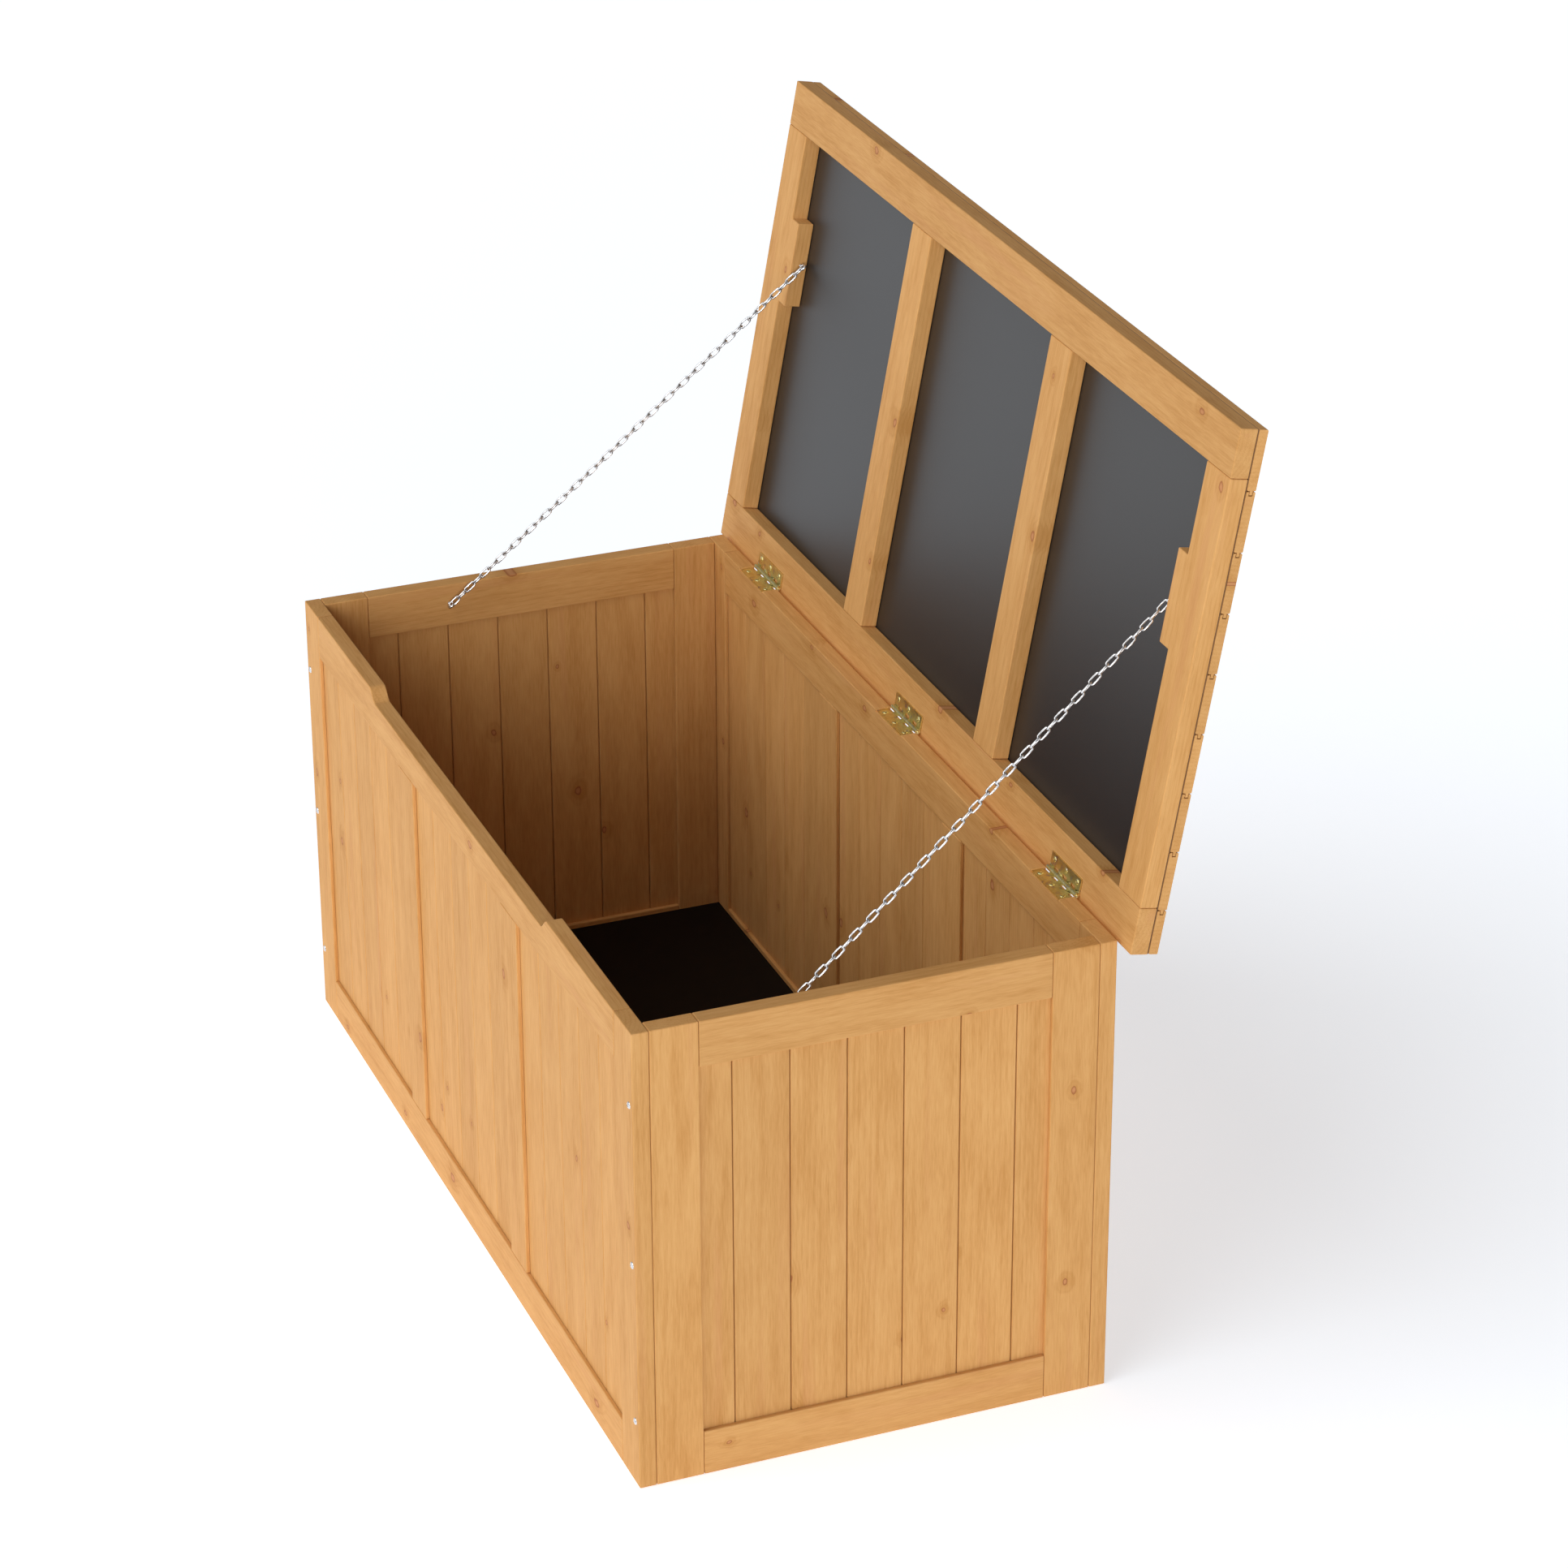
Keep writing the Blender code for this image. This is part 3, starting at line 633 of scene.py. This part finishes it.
@dataclass(frozen=True)
class SheetLiner:
    """Thin black-faced fibre sheet: a near-black satin skin, and a brown core that its cut edges show.

    The lid's sheet shows its cut edges past cut_x on either side and above cut_z.
    """

    name: str
    dark: str = "#1C1B1B"
    light: str = "#252424"
    gloss: float = 0.70
    core: str = "#8C6238"
    cut_x: float = 517.8 * MM
    cut_z: float = 960.8 * MM
    speck: float = 0.9 * MM
    roughness: Pair = (0.36, 0.44)
    relief: float = 0.03 * MM
    relief_strength: float = 0.25

    def material(self) -> Finish:
        """Build the sheet's faces and cut edges.

        Returns:
            The material.
        """
        material, tree, shader = new_material(self.name)
        where = add_node(tree, "TexCoord").outputs["Object"]
        stops = ((0.35, self.dark), (0.65, self.light))
        specks, skin, rough = add_clouds(tree, where, self.speck, 2.0, stops, self.roughness)
        bump = add_node(tree, "Bump", {"Strength": self.relief_strength, "Distance": self.relief,
                                       "Height": specks})
        place = add_node(tree, "SeparateXYZ", {0: where})
        side = add_node(tree, "Math", {0: place}, operation="ABSOLUTE")
        side = add_node(tree, "Math", {0: side, 1: self.cut_x}, operation="GREATER_THAN")
        cut = add_node(tree, "Math", {0: place.outputs[2], 1: self.cut_z}, operation="GREATER_THAN")
        cut = add_node(tree, "Math", {0: side, 1: cut}, operation="MAXIMUM")
        colour = add_node(tree, "Mix", {0: cut, 6: skin, 7: srgb(self.core)}, data_type="RGBA")
        feed(tree, shader, {"Base Color": colour.outputs[2], "Roughness": rough, "Normal": bump,
                            "Specular IOR Level": self.gloss})
        return material


# ---------------- frames of the walls and the lid

@dataclass
class FrameStock:
    """The rails, stiles and muntins, which keep the part's own shapes and get their wood."""

    fir: StainedFir = field(default_factory=StainedFir)
    kinds: tuple[str, ...] = ("_rail", "_stile", "_muntin", "_cleat")
    first_seed: int = 100

    def grain_of(self, node: str) -> Grain:
        """Say how the wood runs in a member.

        Args:
            node: The member's name.

        Returns:
            The way of the wood.
        """
        if node.startswith("lid_"):
            return Grain.LID_RAIL if node.endswith("rail") else Grain.LID_STILE
        if node.endswith("cleat"):
            return Grain.CLEAT
        end_wall = "_end_" in node
        if node.endswith("rail"):
            return Grain.END_WALL_RAIL if end_wall else Grain.LONG_WALL_RAIL
        return Grain.END_WALL_UPRIGHT if end_wall else Grain.LONG_WALL_UPRIGHT

    def build(self) -> int:
        """Dress every member in its own cut of wood.

        Returns:
            How many members were dressed.
        """
        members = sorted(node for node in frame["nodes"] if node.endswith(self.kinds))
        for seed, node in enumerate(members, self.first_seed):
            grain = self.grain_of(node)
            low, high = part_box(node)
            shift, tone = self.fir.shift(grain, (low + high) / 2, seed)
            set_finish(frame["nodes"][node], self.fir.material(f"stained_fir_{node}", grain, shift, tone))
        return len(members)


# ---------------- boards

@dataclass
class Boards:
    """Tongue-and-groove boards, each a piece of its own, in the six long bays, the two ends and the lid."""

    fir: StainedFir = field(default_factory=StainedFir)
    pitch: float = 55.2 * MM
    reach: float = 7.0 * MM
    chamfer: float = 0.7 * MM
    tongue: float = 4.0 * MM
    tongue_share: float = 0.38
    groove_share: float = 0.46
    seam_gap: float = 1.0 * MM
    lid_pitch: float = 57.6 * MM
    lid_front: float = -498.7 * MM
    lid_rear: float = 6.2 * MM
    lid_bottom: float = 21.5 * MM
    lid_thickness: float = 8.8 * MM
    soft: float = 20.0
    first_seed: int = 500
    count: int = 0
    masters: dict[tuple, Piece] = field(default_factory=dict)

    def master(self, width: float, thickness: float, length: float, tongue: bool, groove: bool) -> Piece:
        """Model one board along Z, its width along X from 0, with chamfered arrises.

        Args:
            width: Seen width.
            thickness: Between its faces, along Y, about 0.
            length: Along Z, about 0.
            tongue: Whether the far side carries a tongue.
            groove: Whether the near side is grooved.

        Returns:
            The board, made once for each set of sizes.
        """
        key = (round(width, 5), round(thickness, 5), round(length, 5), tongue, groove)
        if key in self.masters:
            return self.masters[key]
        board = new_block("board", (width - self.seam_gap, thickness, length), (width / 2, 0, 0))
        choose(board, "EDGE", lambda e: abs(e.verts[0].co.z - e.verts[1].co.z) > length / 2)
        bpy.ops.mesh.bevel(offset=self.chamfer, segments=1, affect="EDGES")
        if tongue:
            choose(board, "FACE", lambda f: f.normal.x > 0.99)
            bpy.ops.mesh.extrude_region_move(TRANSFORM_OT_translate={"value": (0, 0, 0)})
            bpy.ops.transform.resize(value=(1, self.tongue_share, 1), center_override=(width, 0, 0))
            bpy.ops.mesh.extrude_region_move(TRANSFORM_OT_translate={"value": (self.tongue, 0, 0)})
        finish_piece(board, self.soft)
        if groove:
            deep = self.seam_gap / 2 + self.tongue
            bar = new_block("groove", (2 * deep, self.groove_share * thickness, 1.1 * length))
            apply_boolean(board, bar, "DIFFERENCE")
        self.masters[key] = finish_piece(board, self.soft)
        return board

    def lay(self, name: str, node: str, edges: list[float], place: Matrix, thickness: float, length: float,
            grain: Grain, material: Finish, body: str) -> None:
        """Lay one row of boards in place of a CAD row.

        Args:
            name: Start of the boards' names.
            node: The CAD row that they stand for.
            edges: Places of the boards' sides along the row.
            place: Turns the row's frame into the row frame of the part.
            thickness: Of the boards.
            length: Of the boards.
            grain: How the wood runs.
            material: The boards' wood.
            body: The body they ride on.
        """
        last = len(edges) - 2
        for k, (low, high) in enumerate(zip(edges, edges[1:])):
            master = self.master(high - low, thickness, length, k < last, k > 0)
            board = copy_piece(master, f"{name}_{k + 1}", place @ Matrix.Translation((low, 0, 0)))
            corners = [v.co for v in board.data.vertices]
            centre = sum(corners, Vector()) / len(corners)
            self.count += 1
            shift, tone = self.fir.shift(grain, centre, self.first_seed + self.count)
            own = board.data.color_attributes.new("log_place", "FLOAT_COLOR", "POINT")
            for value in own.data:
                value.color = (*shift, tone)
            dress(board, material, body)
            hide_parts(node)

    def wall_edges(self, low: float, high: float) -> list[float]:
        """Space a bay's seams evenly, with both end boards run into the frame's groove.

        Args:
            low: Near end of the row.
            high: Far end of the row.

        Returns:
            Places of the boards' sides.
        """
        left, right = low + self.reach, high - self.reach
        seams = int((right - left) / self.pitch)
        first = (left + right - (seams - 1) * self.pitch) / 2
        return [low, *[first + k * self.pitch for k in range(seams)], high]

    def build_walls(self) -> None:
        """Fill every bay of the four walls."""
        long_wood = self.fir.material("stained_fir_long_wall_boards", Grain.LONG_WALL_UPRIGHT)
        end_wood = self.fir.material("stained_fir_end_wall_boards", Grain.END_WALL_UPRIGHT)
        rows = [f"{wall}_{bay}_boards" for wall in ("front", "back") for bay in ("left", "middle", "right")]
        for node in rows + ["left_end_boards", "right_end_boards"]:
            low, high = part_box(node)
            size, place = high - low, Matrix.Translation((low + high) / 2)
            if "_end_" in node:
                edges, thickness, grain, wood = (self.wall_edges(low.y, high.y), size.x,
                                                 Grain.END_WALL_UPRIGHT, end_wood)
                place.translation.y = 0
                place = place @ Matrix.Rotation(math.pi / 2, 4, "Z")
            else:
                edges, thickness, grain, wood = (self.wall_edges(low.x, high.x), size.y,
                                                 Grain.LONG_WALL_UPRIGHT, long_wood)
                place.translation.x = 0
            self.lay(node[:-1], node, edges, place, thickness, size.z, grain, wood, "box")

    def build_lid(self) -> None:
        """Lay the lid's boards across its frame, the first seam one board in from the front edge."""
        wood = self.fir.material("stained_fir_lid_boards", Grain.LID_RAIL)
        low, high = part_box("lid_boards")
        edges = [self.lid_front]
        while edges[-1] + self.lid_pitch < self.lid_rear - 2 * MM:
            edges.append(edges[-1] + self.lid_pitch)
        edges.append(self.lid_rear)
        middle = self.lid_bottom + self.lid_thickness / 2
        across = Matrix(((0, 0, 1, 0), (1, 0, 0, 0), (0, 1, 0, 0), (0, 0, 0, 1)))
        place = lid_frame() @ Matrix.Translation((0, 0, middle)) @ across
        self.lay("lid_board", "lid_boards", edges, place, self.lid_thickness, high.x - low.x,
                 Grain.LID_RAIL, wood, "lid")

    def build(self) -> int:
        """Lay every board.

        Returns:
            How many boards were laid.
        """
        self.build_walls()
        self.build_lid()
        retire(*self.masters.values())
        return self.count


def lid_frame() -> Matrix:
    """Turn the shut lid's frame about the hinge axis into the row frame, with the lid open."""
    return Matrix.Translation(HINGE_POINT) @ Matrix.Rotation(-OPEN_ANGLE, 4, "X")


# ---------------- screws

@dataclass
class CrossScrews:
    """Domed screw heads with a cross recess, whose sizes are shares of the head's radius and height."""

    sides: int = 24
    rings: int = 12
    skirt: float = 0.4
    recess_length: float = 1.15
    recess_width: float = 0.24
    recess_height: float = 0.95
    recess_taper: Pair = (0.55, 0.7)
    soft: float = 35.0

    def head(self, name: str, radius: float, height: float) -> Piece:
        """Model a domed head along +Z with its seat at Z = 0, its recess cut by two crossed blades.

        Args:
            name: Name of the master.
            radius: Of the head.
            height: Of the dome.

        Returns:
            The master.
        """
        clear_selection()
        bpy.ops.mesh.primitive_uv_sphere_add(radius=1, segments=self.sides, ring_count=self.rings,
                                             location=(0, 0, 0))
        obj = name_active(name)
        bpy.ops.object.mode_set(mode="EDIT")
        bpy.ops.mesh.select_all(action="SELECT")
        bpy.ops.mesh.bisect(plane_co=(0, 0, 0), plane_no=(0, 0, 1), use_fill=True, clear_inner=True)
        bpy.ops.mesh.select_all(action="SELECT")
        bpy.ops.transform.resize(value=(radius, radius, height), center_override=(0, 0, 0))
        choose(obj, "FACE", lambda f: f.normal.z < -0.9)
        bpy.ops.mesh.extrude_region_move(TRANSFORM_OT_translate={"value": (0, 0, -self.skirt * height)})
        finish_piece(obj, self.soft)
        for way in (1, -1):
            across = (self.recess_length * radius, self.recess_width * radius)[::way]
            blade = new_block("blade", (*across, height), (0, 0, self.recess_height * height))
            choose(blade, "FACE", lambda f: f.normal.z < -0.9)
            bpy.ops.transform.resize(value=(*self.recess_taper[::way], 1), center_override=(0, 0, 0))
            apply_boolean(obj, blade, "DIFFERENCE")
        activate(obj)
        bpy.ops.object.shade_smooth_by_angle(angle=math.radians(self.soft))
        return obj


@dataclass
class CornerScrews(CrossScrews):
    """Three screws down each corner of the front and back walls, through them into the end walls."""

    radius: float = 3.6 * MM
    dome: float = 1.9 * MM
    inset: float = 9.0 * MM
    heights: tuple[float, ...] = (399.6 * MM, 234.4 * MM, 68.2 * MM)
    seat: float = 0.35 * MM
    first_turn: float = 0.5
    turn_step: float = 1.3

    def build(self, plating: Finish) -> int:
        """Drive the screws.

        Args:
            plating: Their finish.

        Returns:
            How many were driven.
        """
        master = self.head("corner_screw", self.radius, self.dome)
        count = 0
        for wall, facing in (("front", -1), ("back", 1)):
            low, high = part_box(f"{wall}_left_stile")
            face = low.y if facing < 0 else high.y
            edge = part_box(f"{wall}_right_stile")[1].x
            outwards = Matrix.Rotation(-facing * math.pi / 2, 4, "X")
            for side, sign in (("left", -1), ("right", 1)):
                for k, height in enumerate(self.heights):
                    turn = Matrix.Rotation(self.first_turn + self.turn_step * count, 4, "Z")
                    spot = (sign * (edge - self.inset), face - facing * self.seat, height)
                    screw = copy_piece(master, f"{wall}_{side}_corner_screw_{k + 1}",
                                       Matrix.Translation(spot) @ outwards @ turn)
                    dress(screw, plating, "box")
                    count += 1
        retire(master)
        return count


# ---------------- hinges

@dataclass
class ButtHinges(CrossScrews):
    """Three pressed-steel butt hinges: two leaves with rolled knuckles, a pin and six screws each."""

    length: float = 64 * MM
    knuckles: int = 7
    knuckle_radius: float = 2.6 * MM
    knuckle_gap: float = 0.3 * MM
    knuckle_sides: int = 28
    thickness: float = 1.3 * MM
    overlap: float = 0.2 * MM
    arris: float = 0.15 * MM
    box_reach: float = 16.8 * MM
    lid_reach: float = 16.0 * MM
    box_low: float = -2.6 * MM
    lid_low: float = 1.3 * MM
    slot_depth: float = 2.8 * MM
    pin_radius: float = 1.25 * MM
    pin_head: float = 0.8 * MM
    pin_sides: int = 20
    pin_play: float = 0.1 * MM
    pin_arris: float = 0.3 * MM
    corner: float = 0.7 * MM
    screw_radius: float = 2.9 * MM
    screw_dome: float = 0.9 * MM
    screw_spots: tuple[float, ...] = (-24.8 * MM, 0.0, 24.8 * MM)
    first_turn: float = 0.4
    turn_step: float = 0.9
    leaf_turn: float = 100.0

    def leaf(self, name: str, first: int, reach: float, low: float) -> Piece:
        """Model a leaf in the axis's frame: X along the pin, the plate running towards -Y.

        Args:
            name: Name of the master.
            first: Number of the leaf's first knuckle.
            reach: From the axis to the free edge.
            low: Height of the underside over the axis.

        Returns:
            The master.
        """
        inner = self.knuckle_radius + self.slot_depth
        plate = new_block(name, (self.length, reach - inner, self.thickness),
                          (0, -(reach + inner) / 2, low + self.thickness / 2))
        choose(plate, "EDGE", lambda e: abs(e.verts[0].co.z - e.verts[1].co.z) > self.thickness / 2
               and e.verts[0].co.y < -reach + 1e-5)
        bpy.ops.mesh.bevel(offset=self.corner, segments=5, affect="EDGES")
        finish_piece(plate)
        pitch = self.length / self.knuckles
        for k in range(first, self.knuckles, 2):
            x = -self.length / 2 + (k + 0.5) * pitch
            width = pitch - self.knuckle_gap
            deep = inner + self.overlap
            tab = new_block("tab", (width, deep, self.thickness), (x, -deep / 2, low + self.thickness / 2))
            apply_boolean(plate, tab, "UNION")
            barrel = new_rod("barrel", self.knuckle_radius, width, self.knuckle_sides, x)
            apply_boolean(plate, barrel, "UNION")
        bore = new_rod("bore", self.pin_radius + self.pin_play, 2 * self.length, self.pin_sides)
        apply_boolean(plate, bore, "DIFFERENCE")
        round_over(plate, self.arris, 2, 50)
        return finish_piece(plate, 40)

    def pin(self) -> Piece:
        """Model the pin with its two slightly rounded ends.

        Returns:
            The master.
        """
        pin = new_rod("pin", self.pin_radius, self.length + 2 * self.pin_head, self.pin_sides)
        choose(pin, "FACE", lambda f: abs(f.normal.x) > 0.9)
        bpy.ops.mesh.bevel(offset=self.pin_arris, segments=2, affect="EDGES")
        return finish_piece(pin, 40)

    def build(self, plating: Finish) -> int:
        """Make the three hinges where the part has them.

        Args:
            plating: Their finish.

        Returns:
            How many were made.
        """
        screw = self.head("hinge_screw", self.screw_radius, self.screw_dome)
        parts = (("box_leaf", self.leaf("box_leaf", 1, self.box_reach, self.box_low), "box"),
                 ("lid_leaf", self.leaf("lid_leaf", 0, self.lid_reach, self.lid_low), "lid"),
                 ("pin", self.pin(), "box"))
        names = ("hinge_left", "hinge_middle", "hinge_right")
        box_frame = Matrix.Translation(HINGE_POINT)
        for name in names:
            low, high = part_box(f"{name}_pin")
            along = Matrix.Translation(((low.x + high.x) / 2, 0, 0))
            for part, master, body in parts:
                base = lid_frame() if body == "lid" else box_frame
                piece = copy_piece(master, f"{name}_{part}_steel", base @ along)
                dress(piece, plating, body)
                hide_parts(f"{name}_{part}")
            self.drive(screw, name, box_frame @ along, self.box_low + self.thickness, self.box_reach, 0.0,
                       "box", plating)
            self.drive(screw, name, lid_frame() @ along, self.lid_low, self.lid_reach, math.pi,
                       "lid", plating)
        retire(screw, *[master for _, master, _ in parts])
        return len(names)

    def drive(self, screw: Piece, name: str, base: Matrix, face: float, reach: float, flip: float, body: str,
              plating: Finish) -> None:
        """Put a leaf's three screws in its seen face, in line along the middle of the plate.

        Args:
            screw: The master.
            name: Name of the hinge.
            base: Turns the leaf's frame into the row frame.
            face: Height of the seen face over the axis.
            reach: From the axis to the leaf's free edge.
            flip: Turns the head to face out of the seen face.
            body: The body they ride on.
            plating: Their finish.
        """
        y = -(reach + self.knuckle_radius + self.slot_depth) / 2
        for k, x in enumerate(self.screw_spots):
            turn = self.first_turn + self.turn_step * k + self.leaf_turn * reach
            place = base @ Matrix.Translation((x, y, face)) @ Matrix.Rotation(flip, 4, "X")
            piece = copy_piece(screw, f"{name}_{body}_screw_{k + 1}", place @ Matrix.Rotation(turn, 4, "Z"))
            dress(piece, plating, body)


# ---------------- chain stays

@dataclass
class ChainStays:
    """Two stays of 46 welded links, each hung between a screw eye in the end wall and one in the lid."""

    wire: float = 2.0 * MM
    inner_width: float = 3.1 * MM
    counts: tuple[tuple[str, int], ...] = (("box_length", 13), ("middle_length", 11), ("lid_length", 22))
    eye_radius: float = 3.4 * MM
    eye_wire: float = 1.1 * MM
    shank: float = 11.0 * MM
    shank_share: float = 0.97
    collar: float = 1.0 * MM
    collar_share: float = 1.7
    collar_place: float = 5.35 * MM
    twist: float = 0.74

    def link(self, pitch: float) -> Piece:
        """Model one link along X: a wire ring drawn out until its inside is one pitch long.

        Args:
            pitch: From link to link.

        Returns:
            The master.
        """
        clear_selection()
        radius = (self.inner_width + self.wire) / 2
        bpy.ops.mesh.primitive_torus_add(major_radius=radius, minor_radius=self.wire / 2, major_segments=16,
                                         minor_segments=8, location=(0, 0, 0))
        obj = name_active("link")
        bpy.ops.object.mode_set(mode="EDIT")
        draw = (pitch - self.inner_width) / 2
        for way in (1, -1):
            choose(obj, "VERT", lambda v: v.co.x * way > 1e-6)
            bpy.ops.transform.translate(value=(way * draw, 0, 0))
        return finish_piece(obj, 80)

    def eye(self) -> Piece:
        """Model a screw eye along X with its ring round the origin and its shank towards +X.

        Returns:
            The master.
        """
        clear_selection()
        bpy.ops.mesh.primitive_torus_add(major_radius=self.eye_radius, minor_radius=self.eye_wire,
                                         major_segments=32, minor_segments=12, location=(0, 0, 0))
        ring = name_active("eye")
        apply_boolean(ring, new_rod("shank", self.eye_wire * self.shank_share, self.shank, 16,
                                    self.eye_radius + self.shank / 2), "UNION")
        apply_boolean(ring, new_rod("collar", self.eye_wire * self.collar_share, self.collar, 20,
                                    self.collar_place), "UNION")
        return finish_piece(ring, 50)

    def build(self, plating: Finish) -> int:
        """Hang both chains.

        Args:
            plating: Their finish.

        Returns:
            How many links were hung.
        """
        eye = self.eye()
        total = sum(count for _, count in self.counts)
        hung = 0
        joints = {joint["name"]: Vector(joint["pos_m"]) for joint in frame["joints"]}
        for side, flip in (("left", math.pi), ("right", 0.0)):
            start = joints[f"chain_{side}_at_box_eye"]
            stop = joints[f"chain_{side}_at_lid_eye"]
            pull = stop - start
            pitch = pull.length / total
            link = self.link(pitch)
            along = pull.to_track_quat("X", "Z").to_matrix().to_4x4()
            done = 0
            for part, count in self.counts:
                pieces = []
                for k in range(done, done + count):
                    spot = start + pull * ((k + 0.5) / total)
                    turn = Matrix.Rotation(self.twist + (math.pi / 2) * (k % 2), 4, "X")
                    pieces.append(copy_piece(link, f"chain_{side}_link_{k + 1}",
                                             Matrix.Translation(spot) @ along @ turn))
                activate(pieces[0])
                for piece in pieces[1:]:
                    piece.select_set(True)
                bpy.ops.object.join()
                chain = bpy.context.active_object
                chain.name = chain.data.name = f"chain_{side}_{part}_links"
                dress(chain, plating, f"chain_{side}_{part}")
                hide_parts(f"chain_{side}_{part}")
                done += count
            retire(link)
            hung += done
            slope = Matrix.Rotation(math.atan2(pull.z, pull.y), 4, "X")
            inwards = Matrix.Rotation(flip, 4, "Z")
            for end, point, body in (("box", start, "box"), ("lid", stop, "lid")):
                piece = copy_piece(eye, f"chain_{side}_{end}_screw_eye",
                                   Matrix.Translation(point) @ slope @ inwards)
                dress(piece, plating, body)
                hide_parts(f"chain_{side}_{end}_eye")
        retire(eye)
        return hung


# ---------------- liner, floor and studio

@dataclass
class DarkPanels:
    """The lid's liner and the floor panel, which keep the part's shapes; the floor panel's sheet is darker
    than the liner's, with painted shade for the bottom of the box.
    """

    def build(self) -> None:
        """Dress both panels."""
        liner = SheetLiner("black_faced_liner_sheet")
        # The floor sheet is the liner's black sheet made darker still: that extra darkness is painted shade
        # for the bottom of the box.
        panel = SheetLiner("black_faced_floor_sheet_with_painted_shade", dark="#050404", light="#090807", gloss=0.20,
                           roughness=(0.55, 0.65))
        set_finish(frame["nodes"]["lid_liner"], liner.material())
        set_finish(frame["nodes"]["floor_panel"], panel.material())


@dataclass
class Studio:
    """White sweep, soft light all round and the camera."""

    eye: Triple = (3.9947, -1.51965, 2.5431)
    right: Triple = (0.3667423, 0.9303141, -0.0039653)
    down: Triple = (0.4101149, -0.1654956, -0.8968930)
    lens: float = 111.518
    sensor: float = 36.0
    sky_low: float = 0.44
    sky_high: float = 0.035
    sky_top: float = 0.9
    key: float = 1.64
    key_way: Triple = (-0.04, 0.71, -0.71)
    key_spread: float = 64.0
    fill: float = 1.18
    fill_way: Triple = (-0.9, 0.27, -0.11)
    fill_spread: float = 22.0
    floor_size: float = 60.0
    floor_drop: float = 0.4 * MM
    floor_colour: str = "#F4F6FA"
    floor_light: str = "#F2F8FF"
    floor_glow: float = 0.575

    def camera(self) -> None:
        """Set the camera."""
        data = bpy.data.cameras.new("camera")
        data.lens = self.lens
        data.sensor_width = self.sensor
        data.clip_end = 200
        camera = bpy.data.objects.new("camera", data)
        bpy.context.scene.collection.objects.link(camera)
        right, up = Vector(self.right), -Vector(self.down)
        back = right.cross(up)
        turn = Matrix((right, up, back)).transposed().to_4x4()
        camera.matrix_world = Matrix.Translation(self.eye) @ turn
        bpy.context.scene.camera = camera

    def sun(self, name: str, towards: Triple, strength: float, spread: float) -> None:
        """Add one broad soft white light.

        Args:
            name: Name of the light.
            towards: The way it shines.
            strength: In watts a square metre.
            spread: Its width in degrees.
        """
        data = bpy.data.lights.new(name, "SUN")
        data.energy = strength
        data.angle = math.radians(spread)
        light = bpy.data.objects.new(name, data)
        bpy.context.scene.collection.objects.link(light)
        light.rotation_euler = Vector(towards).to_track_quat("-Z", "Y").to_euler()

    def floor(self) -> None:
        """Lay the white floor."""
        clear_selection()
        bpy.ops.mesh.primitive_plane_add(size=self.floor_size, location=(0, 0, -self.floor_drop))
        floor = name_active("studio_floor")
        material, tree, shader = new_material("white_studio_floor")
        feed(tree, shader, {"Base Color": srgb(self.floor_colour), "Roughness": 1.0,
                            "Specular IOR Level": 0.0, "Emission Color": srgb(self.floor_light),
                            "Emission Strength": self.floor_glow})
        set_finish(floor, material)

    def build(self) -> None:
        """Set up the whole studio."""
        scene = bpy.context.scene
        scene.view_settings.view_transform = "Standard"
        world = bpy.data.worlds.new("studio")
        scene.world = world
        world.use_nodes = True
        tree = world.node_tree
        where = add_node(tree, "TexCoord").outputs["Generated"]
        height = add_node(tree, "SeparateXYZ", {0: where}).outputs[2]
        strength = add_node(tree, "MapRange", {"Value": height, "From Max": self.sky_top,
                                               "To Min": self.sky_low, "To Max": self.sky_high})
        feed(tree, tree.nodes["Background"], {"Strength": strength, "Color": srgb("#FFFFFF")})
        self.sun("key", self.key_way, self.key, self.key_spread)
        self.sun("fill", self.fill_way, self.fill, self.fill_spread)
        self.floor()
        self.camera()


def main() -> None:
    """Build every sub-assembly in order."""
    logging.basicConfig(level=logging.INFO, format="%(message)s")
    LOG.info("frame members dressed: %d", FrameStock().build())
    LOG.info("boards laid: %d", Boards().build())
    zinc = PlatedWire().material()
    yellow_zinc = YellowPassivate().material()
    LOG.info("corner screws driven: %d", CornerScrews().build(zinc))
    LOG.info("hinges made: %d", ButtHinges().build(yellow_zinc))
    LOG.info("chain links hung: %d", ChainStays().build(zinc))
    DarkPanels().build()
    LOG.info("liner and floor panel dressed")
    Studio().build()
    LOG.info("studio ready")


if __name__ == "__main__":
    main()
